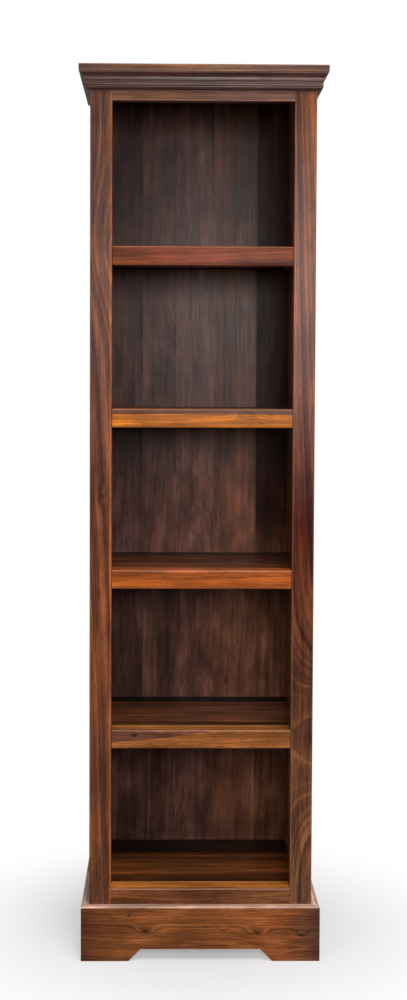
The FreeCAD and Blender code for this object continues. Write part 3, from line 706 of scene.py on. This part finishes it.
@dataclass(frozen=True)
class GeometryPiece:
    """A piece that is repeated at several places by a geometry node tree.

    Attributes:
        name: the name of the piece and of its tree.
    """

    name: str

    def tree(self, inputs: tuple[str, ...]) -> tuple[Tree, Node]:
        """Start a tree.

        Args:
            inputs: the names of its number inputs.

        Returns:
            The tree and its input node.
        """
        made = bpy.data.node_groups.new(self.name, "GeometryNodeTree")
        made.interface.new_socket("Places", in_out="INPUT", socket_type="NodeSocketGeometry")
        made.interface.new_socket("Geometry", in_out="OUTPUT", socket_type="NodeSocketGeometry")
        for name in inputs:
            made.interface.new_socket(name, in_out="INPUT", socket_type="NodeSocketFloat")
        made.interface.new_socket("Turn", in_out="INPUT", socket_type="NodeSocketRotation")
        return made, made.nodes.new("NodeGroupInput")

    def finish_tree(self, tree: Tree, source: Node, parts: list[Socket], material: Material) -> None:
        """Join the parts, put them at every place, then make them real and give them their material.

        Args:
            tree: the tree.
            source: its input node.
            parts: the parts of one copy.
            material: the material of every copy.
        """
        shape = add(tree, "GeometryNodeJoinGeometry")
        for part in parts:
            tree.links.new(part, shape.inputs[0])
        spots = {
            "Points": source.outputs["Places"],
            "Instance": shape.outputs[0],
            "Rotation": source.outputs["Turn"],
        }
        placed = add(tree, "GeometryNodeInstanceOnPoints", spots).outputs[0]
        real = add(tree, "GeometryNodeRealizeInstances", {0: placed}).outputs[0]
        dressed = add(tree, "GeometryNodeSetMaterial", {"Geometry": real, "Material": material}).outputs[0]
        add(tree, "NodeGroupOutput", {0: dressed})

    def make(
        self,
        tree: Tree,
        inputs: dict[str, float],
        turn: tuple[float, float, float],
        places: list[Vector],
        body: str,
        node: str,
    ) -> None:
        """Run the tree on the places and put a plain mesh in the model in a node's stead.

        Args:
            tree: the geometry node tree.
            inputs: the value of each named number input.
            turn: the turn of every copy, in radians about x, y and z.
            places: where the copies go, in metres.
            body: the body that they ride on.
            node: the node that they stand for.
        """
        points = bpy.data.meshes.new(f"{self.name}_places")
        points.from_pydata([tuple(place) for place in places], [], [])
        holder = bpy.data.objects.new(f"{node}_fine", points)
        bpy.context.scene.collection.objects.link(holder)
        modifier = holder.modifiers.new(self.name, "NODES")
        modifier.node_group = tree
        sockets = {item.name: item.identifier for item in tree.interface.items_tree if item.in_out == "INPUT"}
        for name, value in inputs.items():
            modifier[sockets[name]] = value
        modifier[sockets["Turn"]] = turn
        whole = bpy.data.meshes.new_from_object(holder.evaluated_get(bpy.context.evaluated_depsgraph_get()))
        holder.modifiers.remove(modifier)
        holder.data = whole
        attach(holder, body)
        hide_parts(node)
        LOG.info("made %s at %d places for %s", self.name, len(places), node)


@dataclass(frozen=True)
class Screw(GeometryPiece):
    """A round-headed steel wood screw with a cross recess.

    Attributes:
        head: diameter of the head, in metres.
        rise: height of the head, in metres.
        shank: diameter of the shank, in metres.
        tip: radius of the blunt end of the point, in metres.
        crown: width of the head's top over the head's width.
        swell: how late the head narrows upwards; one is a straight cone.
    """

    name: str = "wood_screw"
    head: float = 0.007
    rise: float = 0.0022
    shank: float = 0.0035
    tip: float = 0.0002
    crown: float = 0.55
    swell: float = 2.4

    def shape(self, material: Material) -> Tree:
        """Build the tree: a domed head cut with a cross, and a shank with a conical point.

        Args:
            material: the screw's material.

        Returns:
            The tree.
        """
        tree, source = self.tree(("Head", "Rise", "Shank", "Reach"))
        head, rise, shank, reach = (source.outputs[name] for name in ("Head", "Rise", "Shank", "Reach"))
        shares = (
            (head, 0.5),
            (head, 0.52),
            (head, 0.13),
            (rise, 0.55),
            (rise, 0.5),
            (shank, 0.5),
            (reach, 0.8),
            (reach, -0.4),
            (reach, 0.2),
            (reach, -0.8),
        )
        radius, arm_length, arm_width, arm_level, head_level, thickness, straight, middle, taper, end = (
            add(tree, MATH, {0: value, 1: share}, operation="MULTIPLY").outputs[0] for value, share in shares
        )
        dome = self._dome(tree, radius, rise)
        cut = add(tree, "GeometryNodeMeshBoolean", {"Mesh 1": dome}, operation="DIFFERENCE", solver="EXACT")
        for turn in (0.0, math.pi / 2):
            box = add(tree, COMBINE, {0: arm_length, 1: arm_width, 2: rise}).outputs[0]
            cube = add(tree, "GeometryNodeMeshCube", {"Size": box}).outputs["Mesh"]
            lift = add(tree, COMBINE, {2: arm_level}).outputs[0]
            moved = {"Geometry": cube, "Translation": lift, "Rotation": (0.0, 0.0, turn)}
            arm = add(tree, "GeometryNodeTransform", moved).outputs[0]
            tree.links.new(arm, cut.inputs["Mesh 2"])
        rod = {"Vertices": 20, "Radius": thickness, "Depth": straight}
        cone = {"Vertices": 20, "Radius Top": self.tip, "Radius Bottom": thickness, "Depth": taper}
        stem = add(tree, "GeometryNodeMeshCylinder", rod).outputs["Mesh"]
        point = add(tree, "GeometryNodeMeshCone", cone).outputs["Mesh"]
        parts = []
        for part, level, turn in (
            (cut.outputs[0], head_level, 0.0),
            (stem, middle, 0.0),
            (point, end, math.pi),
        ):
            lift = add(tree, COMBINE, {2: level}).outputs[0]
            moved = {"Geometry": part, "Translation": lift, "Rotation": (turn, 0.0, 0.0)}
            parts.append(add(tree, "GeometryNodeTransform", moved).outputs[0])
        self.finish_tree(tree, source, parts, material)
        return tree

    def _dome(self, tree: Tree, radius: Socket, rise: Socket) -> Socket:
        """Build the head, a disc that narrows upwards to just over half its width.

        Args:
            tree: the tree.
            radius: the head's radius.
            rise: the head's height.

        Returns:
            The head, with its middle at the origin.
        """
        rows = {"Vertices": 32, "Side Segments": 6, "Fill Segments": 3, "Radius": radius, "Depth": rise}
        disc = add(tree, "GeometryNodeMeshCylinder", rows, fill_type="NGON").outputs["Mesh"]
        place = add(tree, "GeometryNodeInputPosition").outputs[0]
        height = add(tree, SEPARATE, {0: place}).outputs[2]
        share = add(tree, MATH, {0: height, 1: rise}, operation="DIVIDE").outputs[0]
        up = add(tree, MATH, {0: share, 1: 0.5}, operation="ADD").outputs[0]
        fall = add(tree, MATH, {0: up, 1: self.swell}, operation="POWER").outputs[0]
        narrow = add(tree, RANGE, {0: fall, 1: 0.0, 2: 1.0, 3: 1.0, 4: self.crown}).outputs[0]
        wide = add(tree, COMBINE, {0: narrow, 1: narrow, 2: 1.0}).outputs[0]
        domed = add(tree, VECTOR, {0: place, 1: wide}, operation="MULTIPLY").outputs[0]
        return add(tree, "GeometryNodeSetPosition", {"Geometry": disc, "Position": domed}).outputs[0]


@dataclass(frozen=True)
class ShelfPin(GeometryPiece):
    """A steel shelf support: a round stem with a narrower end, and a round-cornered flat under the board.

    Attributes:
        stem: diameter of the stem, in metres.
        width: width of the flat, in metres.
    """

    name: str = "shelf_support"
    stem: float = 0.005
    width: float = 0.009

    def shape(self, material: Material) -> Tree:
        """Build the tree, with the flat running along +x from the origin and the stem along -x.

        Args:
            material: the support's material.

        Returns:
            The tree.
        """
        names = ("Reach", "Width", "Height", "Stem", "Depth")
        tree, source = self.tree(names)
        reach, width, height, stem, depth = (source.outputs[name] for name in names)
        parts = [self._flat(tree, reach, width, height)]
        for radius, length, start in ((0.46, 0.9, -0.45), (0.36, 0.1, -0.95)):
            thick, deep, middle = (
                add(tree, MATH, {0: value, 1: share}, operation="MULTIPLY").outputs[0]
                for value, share in ((stem, radius), (depth, length), (depth, start))
            )
            rod = {"Vertices": 24, "Radius": thick, "Depth": deep}
            cylinder = add(tree, "GeometryNodeMeshCylinder", rod).outputs["Mesh"]
            along = add(tree, COMBINE, {0: middle}).outputs[0]
            moved = {"Geometry": cylinder, "Translation": along, "Rotation": (0.0, math.pi / 2, 0.0)}
            parts.append(add(tree, "GeometryNodeTransform", moved).outputs[0])
        self.finish_tree(tree, source, parts, material)
        return tree

    def _flat(self, tree: Tree, reach: Socket, width: Socket, height: Socket) -> Socket:
        """Build the flat, a closed plate with rounded corners.

        Args:
            tree: the tree.
            reach: how far the plate reaches from the side panel.
            width: its width.
            height: its thickness.

        Returns:
            The plate, with the middle of one end at the origin.
        """
        corner, middle, drop = (
            add(tree, MATH, {0: value, 1: share}, operation="MULTIPLY").outputs[0]
            for value, share in ((width, 0.22), (reach, 0.5), (height, -0.5))
        )
        outline = add(tree, "GeometryNodeCurvePrimitiveQuadrilateral", {"Width": reach, "Height": width})
        rounding = {"Curve": outline.outputs[0], "Radius": corner, "Count": 5}
        rounded = add(tree, "GeometryNodeFilletCurve", rounding, mode="POLY").outputs[0]
        face = add(tree, "GeometryNodeFillCurve", {"Curve": rounded}).outputs[0]
        up = add(tree, COMBINE, {2: 1.0}).outputs[0]
        raised = {"Mesh": face, "Offset": up, "Offset Scale": height, "Individual": False}
        solid = add(tree, "GeometryNodeExtrudeMesh", raised).outputs["Mesh"]
        under = add(tree, "GeometryNodeFlipFaces", {"Mesh": face}).outputs[0]
        plate = add(tree, "GeometryNodeJoinGeometry")
        for part in (solid, under):
            tree.links.new(part, plate.inputs[0])
        whole = add(tree, "GeometryNodeMergeByDistance", {"Geometry": plate.outputs[0]}).outputs[0]
        shift = add(tree, COMBINE, {0: middle, 2: drop}).outputs[0]
        return add(tree, "GeometryNodeTransform", {"Geometry": whole, "Translation": shift}).outputs[0]


@dataclass(frozen=True)
class Fasteners:
    """The screws of the back and of the floor cleats, and the steel supports of the loose shelves.

    Attributes:
        inset: from a back board's edge to its screw, in metres.
        tongue: how far a back board's tongue reaches into the next board, in metres.
    """

    inset: float = 0.016
    tongue: float = 0.005

    def build(self) -> None:
        """Make the screws and supports."""
        screw = Screw()
        tree = screw.shape(ZINC_STEEL.material())
        sizes = {"Head": screw.head, "Rise": screw.rise, "Shank": screw.shank}
        low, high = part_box("back_screws")
        backs = {**sizes, "Reach": high[1] - low[1] - screw.rise}
        level = (low[2] + high[2]) / 2
        rear = [Vector((x, high[1] - screw.rise, level)) for x in self._back_places()]
        screw.make(tree, backs, (-math.pi / 2, 0.0, 0.0), rear, "carcase", "back_screws")
        low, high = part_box("cleat_screws")
        cleats = {**sizes, "Reach": high[2] - low[2] - screw.rise}
        under = self._cleat_places(screw, Vector(low), Vector(high))
        screw.make(tree, cleats, (math.pi, 0.0, 0.0), under, "carcase", "cleat_screws")
        self._supports()

    def _back_places(self) -> list[float]:
        """Find the places of the back screws across the bookcase, two to a board.

        Returns:
            Their distances from the middle, in metres.
        """
        joints = [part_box(f"back_board_{number}")[1][0] - self.tongue for number in range(1, 5)]
        ends = [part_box("side_panel_left")[1][0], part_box("side_panel_right")[0][0]]
        edges = [ends[0], *joints, ends[1]]
        return [x for left, right in zip(edges, edges[1:]) for x in (left + self.inset, right - self.inset)]

    def _cleat_places(self, screw: Screw, low: Vector, high: Vector) -> list[Vector]:
        """Find the places of the cleats' screws, three to a cleat.

        Args:
            screw: the screw.
            low: lowest corner of the box round all the cleats' screws, in metres.
            high: its highest corner, in metres.

        Returns:
            The places where their heads meet the wood.
        """
        middle, half = (low[1] + high[1]) / 2, (high[1] - low[1] - screw.head) / 2
        sides = (low[0] + screw.head / 2, high[0] - screw.head / 2)
        return [Vector((x, middle + step * half, low[2] + screw.rise)) for x in sides for step in (-1, 0, 1)]

    def _supports(self) -> None:
        """Put a front and a rear support under both sides of every loose shelf."""
        pin = ShelfPin()
        tree = pin.shape(BRONZED_STEEL.material())
        for number in range(1, len(SHELVES) + 1):
            for side, inward, turn in (("left", 1, 0.0), ("right", 0, math.pi)):
                node = f"shelf_{number}_pins_{side}"
                low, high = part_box(node)
                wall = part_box(f"side_panel_{side}")[inward][0]
                ends = (low[0], high[0])
                sizes = {
                    "Reach": abs(ends[inward] - wall),
                    "Width": pin.width,
                    "Height": high[2] - low[2],
                    "Stem": pin.stem,
                    "Depth": abs(ends[1 - inward] - wall),
                }
                middle, half = (low[2] + high[2]) / 2, pin.width / 2
                places = [Vector((wall, y, middle)) for y in (low[1] + half, high[1] - half)]
                pin.make(tree, sizes, (0.0, 0.0, turn), places, f"pins_{number}_{side}", node)


def dress(node: str, finish: Rosewood | BareHardwood) -> None:
    """Give a node of the model a wood finish that is cut for its own board.

    Args:
        node: the node's name.
        finish: the finish.
    """
    low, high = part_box(node)
    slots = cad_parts[node].data.materials
    slots.clear()
    slots.append(finish.material(Vector(low), Vector(high)))
    LOG.info("dressed %s in %s", node, finish.name)


@dataclass(frozen=True)
class Cornice:
    """The top board and the moulding under it, which is mitred round the front corners.

    Attributes:
        board: the finish of the top board.
        moulding: the finish of the front moulding, which the side ones share.
    """

    board: Rosewood = Rosewood(
        "rosewood_top_board",
        Lay.SHELF,
        (Tone(-240, "#48322b"), Tone(-60, "#603e27"), Tone(120, "#583a2c"), Tone(240, "#4c352c")),
        pitch=7.0,
        seed=3.0,
        stave=94.5,
        stave_tone=0.16,
    )
    moulding: Rosewood = Rosewood(
        "rosewood_cornice_front",
        Lay.RAIL,
        (Tone(-240, "#492b25"), Tone(240, "#513029")),
        veins=0.5,
        pitch=5.0,
        wander=4.0,
        seed=5.0,
        roughness=0.28,
        gloss=0.32,
    )

    def build(self) -> None:
        """Finish the cornice's boards."""
        dress("top_board", self.board)
        dress("cornice_front", self.moulding)
        for number, side in enumerate(SIDES):
            name = f"cornice_{side}"
            dress(name, replace(self.moulding, name=f"rosewood_{name}", lay=Lay.SIDE_RAIL, seed=6.0 + number))


@dataclass(frozen=True)
class Carcase:
    """The four posts, the rail across the top, and the framed panels of the sides.

    Attributes:
        left_post, right_post: the finishes of the front posts.
        top_rail: the finish of the rail between them.
        upright: the finish of the rear posts.
        panel: the finish of the side panels.
        side_rail: the finish of the rails above and below them.
    """

    left_post: Rosewood = Rosewood(
        "rosewood_front_post_left",
        Lay.UPRIGHT,
        (Tone(-850, "#563425"), Tone(-250, "#6b3c25"), Tone(300, "#643827"), Tone(850, "#583629")),
        pitch=6.5,
        pith=(-55.0, 70.0),
        lean=0.02,
        seed=11.0,
        knots=(Knot(50, 3, 4.5), Knot(560, 40, 30, heart=0.0)),
        bands=(Band(1.0, 0.0, 0.0, 17.5, "#8c4a20", 3.0),),
        gloss=0.13,
    )
    right_post: Rosewood = Rosewood(
        "rosewood_front_post_right",
        Lay.UPRIGHT,
        (
            Tone(-850, "#563b29"),
            Tone(-450, "#794b34"),
            Tone(0, "#400f03"),
            Tone(280, "#764431"),
            Tone(850, "#6d3d23"),
        ),
        pitch=7.5,
        pith=(50.0, 80.0),
        lean=-0.015,
        seed=17.0,
        knots=(Knot(-440, 52, 44, heart=0.0),),
        gloss=0.13,
    )
    top_rail: Rosewood = Rosewood(
        "rosewood_front_top_rail",
        Lay.RAIL,
        (Tone(-200, "#5a392c"), Tone(-70, "#704427"), Tone(60, "#5c392c"), Tone(200, "#5b392d")),
        veins=0.5,
        pitch=6.0,
        seed=19.0,
    )
    upright: Rosewood = Rosewood(
        "rosewood_rear_post",
        Lay.SIDE_UPRIGHT,
        (Tone(-800, "#5c3b2b"), Tone(0, "#6b422d"), Tone(800, "#694535")),
        pitch=7.0,
        pith=(40.0, 60.0),
        seed=23.0,
    )
    panel: Rosewood = Rosewood(
        "rosewood_side_panel",
        Lay.SIDE_UPRIGHT,
        (Tone(-700, "#5a3728"), Tone(-100, "#6a3f29"), Tone(500, "#633f30"), Tone(700, "#5e3d30")),
        pitch=8.0,
        pith=(6.0, 26.0),
        lean=0.05,
        seed=29.0,
        stave=94.0,
        stave_tone=0.12,
        knots=(Knot(-260, 40, 7),),
    )
    side_rail: Rosewood = Rosewood(
        "rosewood_side_rail",
        Lay.SIDE_RAIL,
        (Tone(-140, "#633d2b"), Tone(140, "#70472f")),
        pitch=6.5,
        seed=37.0,
    )

    def build(self) -> None:
        """Finish the carcase's boards."""
        dress("front_post_left", self.left_post)
        dress("front_post_right", self.right_post)
        dress("front_top_rail", self.top_rail)
        for number, side in enumerate(SIDES):
            for part, finish, step in (
                ("rear_post", self.upright, 9.0),
                ("side_panel", self.panel, 10.0),
                ("side_top_rail", self.side_rail, 13.0),
                ("side_bottom_rail", self.side_rail, 16.0),
            ):
                name = f"{part}_{side}"
                seed = finish.seed + 41.0 * number + step
                dress(name, replace(finish, name=f"rosewood_{name}", seed=seed))
        dress("top_dowels", BareHardwood("beech_dowels", Lay.UPRIGHT))


@dataclass(frozen=True)
class BackPanel:
    """Five boards, tongued and grooved together, behind the shelves.

    Attributes:
        base: what the boards' finishes share.
        swirls: the knots and swirls of each board, from the left.
        colours: the ground colour of each board.
        painted_light_by_height: how light every board is drawn at places along it, in millimetres from its middle:
            painted light and shade, lightest a little below the middle and darkest at the top.
        piths: where the heart of the tree lies for each board, across and into it, in millimetres.
        leans: how far each board's growth rings lean.
        dark_wood_and_shadow: each board's darker stretches: a painted shadow of the right post over the right of the
            fourth board, and a darker upper part of the fifth that is partly its own dark wood and partly painted
            shade.
        glosses: how strongly each board mirrors the room.
    """

    base: Rosewood = Rosewood(
        "rosewood_back_board",
        Lay.UPRIGHT,
        veins=0.4,
        pitch=20.0,
        wander=34.0,
        mottle=0.3,
        cloud=0.3,
        fibre=0.15,
        rub_and_highlight=0.1,
        roughness=0.3,
    )
    swirls: tuple[tuple[Knot, ...], ...] = (
        (),
        (Knot(230, -6, 30, heart=0.0),),
        (Knot(20, 12, 24, heart=0.0), Knot(-372, 7, 22, heart=0.0), Knot(-726, 14, 20, heart=0.3)),
        (Knot(-444, -19, 4), Knot(-765, 22, 16, heart=0.3)),
        (Knot(250, -16, 22, heart=0.0),),
    )
    colours: tuple[str, ...] = ("#573a34", "#5b3c34", "#69443a", "#643f2f", "#5a3929")
    # The same painted light and shade by height is laid on every board.
    painted_light_by_height: tuple[tuple[float, float], ...] = ((-750, 1.0), (-250, 1.4), (250, 0.98), (750, 0.64))
    piths: tuple[tuple[float, float], ...] = ((-60, 50), (50, 60), (2, 16), (-70, 40), (8, 14))
    leans: tuple[float, ...] = (0.02, 0.03, 0.075, -0.02, 0.07)
    dark_wood_and_shadow: tuple[tuple[Band, ...], ...] = (
        (),
        (),
        (),
        # painted shadow of the right post, soft, over the right of the fourth board
        (Band(1.0, 0.0, 0.1, 62.0, "#341b12", 4.0, 38.0),),
        # the fifth board darker from a little below its middle upward: partly its own dark wood, partly painted
        # shade
        (Band(0.0, 0.0, 1.0, -170.0, "#2a120c", 30.0, 110.0),),
    )
    glosses: tuple[float, ...] = (0.07, 0.09, 0.11, 0.1, 0.04)

    def build(self) -> None:
        """Finish each board."""
        rows = zip(self.colours, self.piths, self.leans, self.swirls, self.dark_wood_and_shadow, self.glosses)
        for number, (colour, pith, lean, knots, bands, gloss) in enumerate(rows, start=1):
            node = f"back_board_{number}"
            tones = tuple(Tone(along, colour, gain) for along, gain in self.painted_light_by_height)
            figure = replace(self.base, pith=pith, lean=lean, knots=knots, bands=bands, gloss=gloss)
            dress(node, replace(figure, name=f"rosewood_{node}", tones=tones, seed=40.0 + 3 * number))


@dataclass(frozen=True)
class Plinth:
    """The skirting round the foot, with its long low cut-out.

    Attributes:
        front: the finish of the front board, which the side ones share.
    """

    front: Rosewood = Rosewood(
        "rosewood_plinth_front",
        Lay.RAIL,
        (
            Tone(-240, "#5a321d"),
            Tone(-125, "#8e532b"),
            Tone(60, "#8c502a"),
            Tone(160, "#8e4f2b"),
            Tone(240, "#553929"),
        ),
        veins=0.55,
        pitch=4.2,
        pith=(-20.0, 70.0),
        wander=13.0,
        seed=53.0,
        fibre=0.34,
        knots=(
            Knot(-111, 6, 6),
            Knot(47, 9, 3, 0.5),
            Knot(115, 4, 6, 0.8),
            Knot(205, -2, 4),
            Knot(-145, 38, 2.5),
        ),
        # The pale band along the top 3 mm is a painted highlight on the ledge and its rounded edge, shared by the
        # side boards.
        bands=(Band(1.0, 0.0, 0.0, 53.0, "#dcb09a", 0.4),),
    )

    def build(self) -> None:
        """Finish the three boards."""
        dress("plinth_front", self.front)
        for number, side in enumerate(SIDES):
            node = f"plinth_{side}"
            board = replace(self.front, name=f"rosewood_{node}", lay=Lay.SIDE_RAIL, seed=57.0 + number)
            dress(node, replace(board, knots=(Knot(60, 8, 5),)))


@dataclass(frozen=True)
class FixedFloor:
    """The lowest shelf, which is part of the carcase, with its rail and cleats.

    Attributes:
        rail: the finish of its rail.
        board: the finish of its board.
    """

    rail: Rosewood = Rosewood(
        "rosewood_floor_rail",
        Lay.RAIL,
        (Tone(-180, "#79472b"), Tone(0, "#74452b"), Tone(180, "#6c452b")),
        veins=0.62,
        pitch=5.0,
        wander=16.0,
        seed=61.0,
        rub_and_highlight=0.9,
        bands=(Band(1.0, 0.6, 0.0, 9.0, "#c87a30", 1.0),),
        gloss=0.12,
    )
    board: Rosewood = Rosewood(
        "rosewood_floor_board",
        Lay.SHELF,
        (Tone(-180, "#693c18"), Tone(180, "#61341a")),
        pitch=9.0,
        seed=67.0,
        stave=46.0,
        stave_tone=0.5,
        roughness=0.36,
        gloss=0.07,
        # The dark strip over the back of the top is painted shade and a painted reflection of the dark back; the
        # thin dark strip at the front is painted shade against the rail.
        bands=(Band(1.0, 0.0, 0.0, 56.0, "#2e1a12", 0.5), Band(-1.0, 0.0, 0.0, 139.0, "#2b1710", 0.5)),
    )

    def build(self) -> None:
        """Finish the floor's boards."""
        dress("floor_rail", self.rail)
        dress("floor_board", self.board)
        for side in SIDES:
            dress(f"floor_cleat_{side}", BareHardwood(f"hardwood_cleat_{side}"))


@dataclass(frozen=True)
class AdjustableShelf:
    """One loose shelf: a board behind a deeper front rail.

    Attributes:
        number: its place, counted from the lowest.
        rail: the finish of its rail.
        board: the finish of its board.
    """

    number: int
    rail: Rosewood
    board: Rosewood = Rosewood(
        "rosewood_shelf_board",
        Lay.SHELF,
        (Tone(-180, "#663a24"), Tone(180, "#5e3827")),
        pitch=9.0,
        stave=51.0,
        stave_tone=0.6,
        roughness=0.36,
        gloss=0.07,
        # The dark strip over the back of the top is painted shade and a painted reflection of the dark back panel.
        bands=(Band(1.0, 0.0, 0.0, 92.0, "#2a1812", 0.5, 4.0), Band(-1.0, 0.0, -0.04, 128.0, "#8f5626", 4.0)),
    )

    def build(self) -> None:
        """Finish the shelf's rail and board."""
        dress(f"shelf_{self.number}_rail", replace(self.rail, name=f"rosewood_shelf_{self.number}_rail"))
        name = f"shelf_{self.number}_board"
        dress(name, replace(self.board, name=f"rosewood_{name}", seed=80.0 + 7 * self.number))


SHELVES = (
    AdjustableShelf(
        1,
        Rosewood(
            "rosewood_shelf_rail",
            Lay.RAIL,
            (Tone(-180, "#633b2c"), Tone(180, "#6c402c")),
            pitch=6.0,
            seed=71.0,
            rub_and_highlight=0.7,
            knots=(Knot(-135, 9, 5.5),),
            bands=(Band(-1.0, 4.0, 0.06, -96.8, "#955a2d"), Band(1.0, 0.5, 0.0, 22.0, "#b0702f", 1.5)),
            gloss=0.12,
        ),
    ),
    AdjustableShelf(
        2,
        Rosewood(
            "rosewood_shelf_rail",
            Lay.RAIL,
            (Tone(-180, "#a0501c"), Tone(180, "#aa5520")),
            veins=0.55,
            pitch=5.0,
            seed=73.0,
            rub_and_highlight=0.9,
            gloss=0.15,
        ),
    ),
    AdjustableShelf(
        3,
        Rosewood(
            "rosewood_shelf_rail",
            Lay.RAIL,
            (Tone(-180, "#7a4c30"), Tone(180, "#6b4232")),
            veins=0.5,
            pitch=6.0,
            seed=76.0,
            rub_and_highlight=0.9,
            knots=(Knot(88, 12, 6, heart=0.3),),
            gloss=0.1,
            bands=(Band(-1.0, 0.5, 0.0, -18.0, "#c16c1a", 4.0),),
        ),
    ),
    AdjustableShelf(
        4,
        Rosewood(
            "rosewood_shelf_rail",
            Lay.RAIL,
            (Tone(-180, "#6b3012"), Tone(180, "#6e3115")),
            pitch=5.5,
            seed=79.0,
            rub_and_highlight=0.9,
            gloss=0.06,
        ),
    ),
)


@dataclass
class Studio:
    """A pale floor that fades into white, soft lights and the camera.

    Attributes:
        place: where the camera stands, in metres.
        yaw, pitch, roll: how it is turned, in degrees: to the right, down, and anticlockwise.
        lens: focal length in millimetres on a 36 mm high frame.
        shift: how far the frame is moved off the lens's axis, as shares of its height.
        floor_radius: how far the floor reaches, in metres.
        lit_radius: how far from the middle the floor fades into white, in metres.
    """

    place: tuple[float, float, float] = (-0.0757, -3.2090, 1.1631)
    yaw: float = 0.787
    pitch: float = 2.485
    roll: float = 0.227
    lens: float = 54.59
    shift: tuple[float, float] = (0.0181, -0.0473)
    floor_radius: float = 30.0
    lit_radius: float = 0.75

    def build(self) -> None:
        """Set the floor, the lights and the camera."""
        self._floor()
        self._world()
        self._softbox("overhead", (0.5, -1.9, 3.3), (0.0, -0.1, 0.7), (1.6, 1.4), 60.0)
        self._softbox("window", (0.12, -3.4, 1.56), (0.0, 0.0, 1.0), (0.44, 0.75), 28.0)
        self._softbox("strip", (0.5, -3.4, 1.6), (0.0, 0.0, 1.0), (0.2, 0.8), 14.0)
        self._softbox("fill", (-2.2, -3.0, 1.3), (0.0, 0.0, 0.8), (1.4, 1.8), 28.0)
        self._camera()

    def _floor(self) -> None:
        """Make the floor, lit near the bookcase and fading into the white air away from it."""
        foot = (0.0, 0.0, CAD_BOX[0][2])
        disc = {"vertices": 96, "radius": self.floor_radius, "fill_type": "NGON"}
        bpy.ops.mesh.primitive_circle_add(location=foot, **disc)
        floor = bpy.context.object
        floor.name = "studio_floor"
        material = blank_material("pale_matt_floor")
        tree = material.node_tree
        source = add(tree, "ShaderNodeTexCoord").outputs["Object"]
        away = add(tree, "ShaderNodeVectorMath", {0: source}, operation="LENGTH").outputs["Value"]
        reach = {0: away, 1: 0.0, 2: self.lit_radius, 3: 0.3, 4: 1.0}
        fade = add(tree, RANGE, reach, interpolation_type="SMOOTHERSTEP").outputs[0]
        lit = add(tree, "ShaderNodeBsdfDiffuse", {"Color": linear("#f6f6f6")})
        air = add(tree, "ShaderNodeEmission", {"Color": linear("#ffffff"), "Strength": 1.0})
        blend = add(tree, "ShaderNodeMixShader", {0: fade, 1: lit.outputs[0], 2: air.outputs[0]})
        add(tree, "ShaderNodeOutputMaterial", {"Surface": blend.outputs[0]})
        floor.data.materials.append(material)
        # The pale floor neither shows in the lacquer nor throws light up on the wood.
        floor.visible_glossy = False
        floor.visible_diffuse = False
        floor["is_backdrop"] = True

    def _world(self) -> None:
        """Light the room dimly from all round, in front of white air, and set how the picture is toned."""
        world = bpy.data.worlds.new("studio_air")
        world.use_nodes = True
        tree = world.node_tree
        tree.nodes.clear()
        seen = add(tree, "ShaderNodeLightPath").outputs["Is Camera Ray"]
        strength = add(tree, RANGE, {0: seen, 1: 0.0, 2: 1.0, 3: 0.2, 4: 1.0}).outputs[0]
        glow = add(tree, "ShaderNodeBackground", {"Color": linear("#ffffff"), "Strength": strength})
        add(tree, "ShaderNodeOutputWorld", {"Surface": glow.outputs[0]})
        scene = bpy.context.scene
        scene.world = world
        scene.view_settings.view_transform = "Standard"

    def _softbox(
        self,
        name: str,
        place: tuple[float, float, float],
        aim: tuple[float, float, float],
        size: tuple[float, float],
        power: float,
    ) -> None:
        """Hang one softbox.

        Args:
            name: the light's name.
            place: where its middle hangs, in metres.
            aim: the point that it faces, in metres.
            size: its width and height, in metres.
            power: its power in watts.
        """
        light = bpy.data.lights.new(name, "AREA")
        light.shape = "RECTANGLE"
        light.size, light.size_y = size
        light.energy = power
        lamp = bpy.data.objects.new(name, light)
        lamp.location = place
        lamp.rotation_euler = (Vector(aim) - Vector(place)).to_track_quat("-Z", "Y").to_euler()
        bpy.context.scene.collection.objects.link(lamp)

    def _camera(self) -> None:
        """Place the camera, turned about its own axes."""
        yaw, pitch, roll = (math.radians(angle) for angle in (self.yaw, self.pitch, self.roll))
        forward = Vector((math.sin(yaw) * math.cos(pitch), math.cos(yaw) * math.cos(pitch), -math.sin(pitch)))
        level = Vector((math.cos(yaw), -math.sin(yaw), 0.0))
        upright = level.cross(forward)
        right = math.cos(roll) * level + math.sin(roll) * upright
        up = math.cos(roll) * upright - math.sin(roll) * level
        turned = Matrix((right, up, -forward)).transposed()
        data = bpy.data.cameras.new("studio_camera")
        data.lens = self.lens
        data.shift_x, data.shift_y = self.shift
        camera = bpy.data.objects.new("studio_camera", data)
        camera.matrix_world = Matrix.Translation(self.place) @ turned.to_4x4()
        bpy.context.scene.collection.objects.link(camera)
        bpy.context.scene.camera = camera


def write_sizes() -> None:
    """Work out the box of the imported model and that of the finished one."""
    boxes = {name: [list(corner) for corner in box] for name, box in (("cad", CAD_BOX), ("visual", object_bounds()))}


def main() -> None:
    """Build each sub-assembly in order, then the studio."""
    logging.basicConfig(level=logging.INFO)
    assemblies = (Cornice(), Carcase(), BackPanel(), Plinth(), FixedFloor(), *SHELVES, Fasteners())
    for assembly in assemblies:
        assembly.build()
    Studio().build()
    write_sizes()


if __name__ == "__main__":
    main()
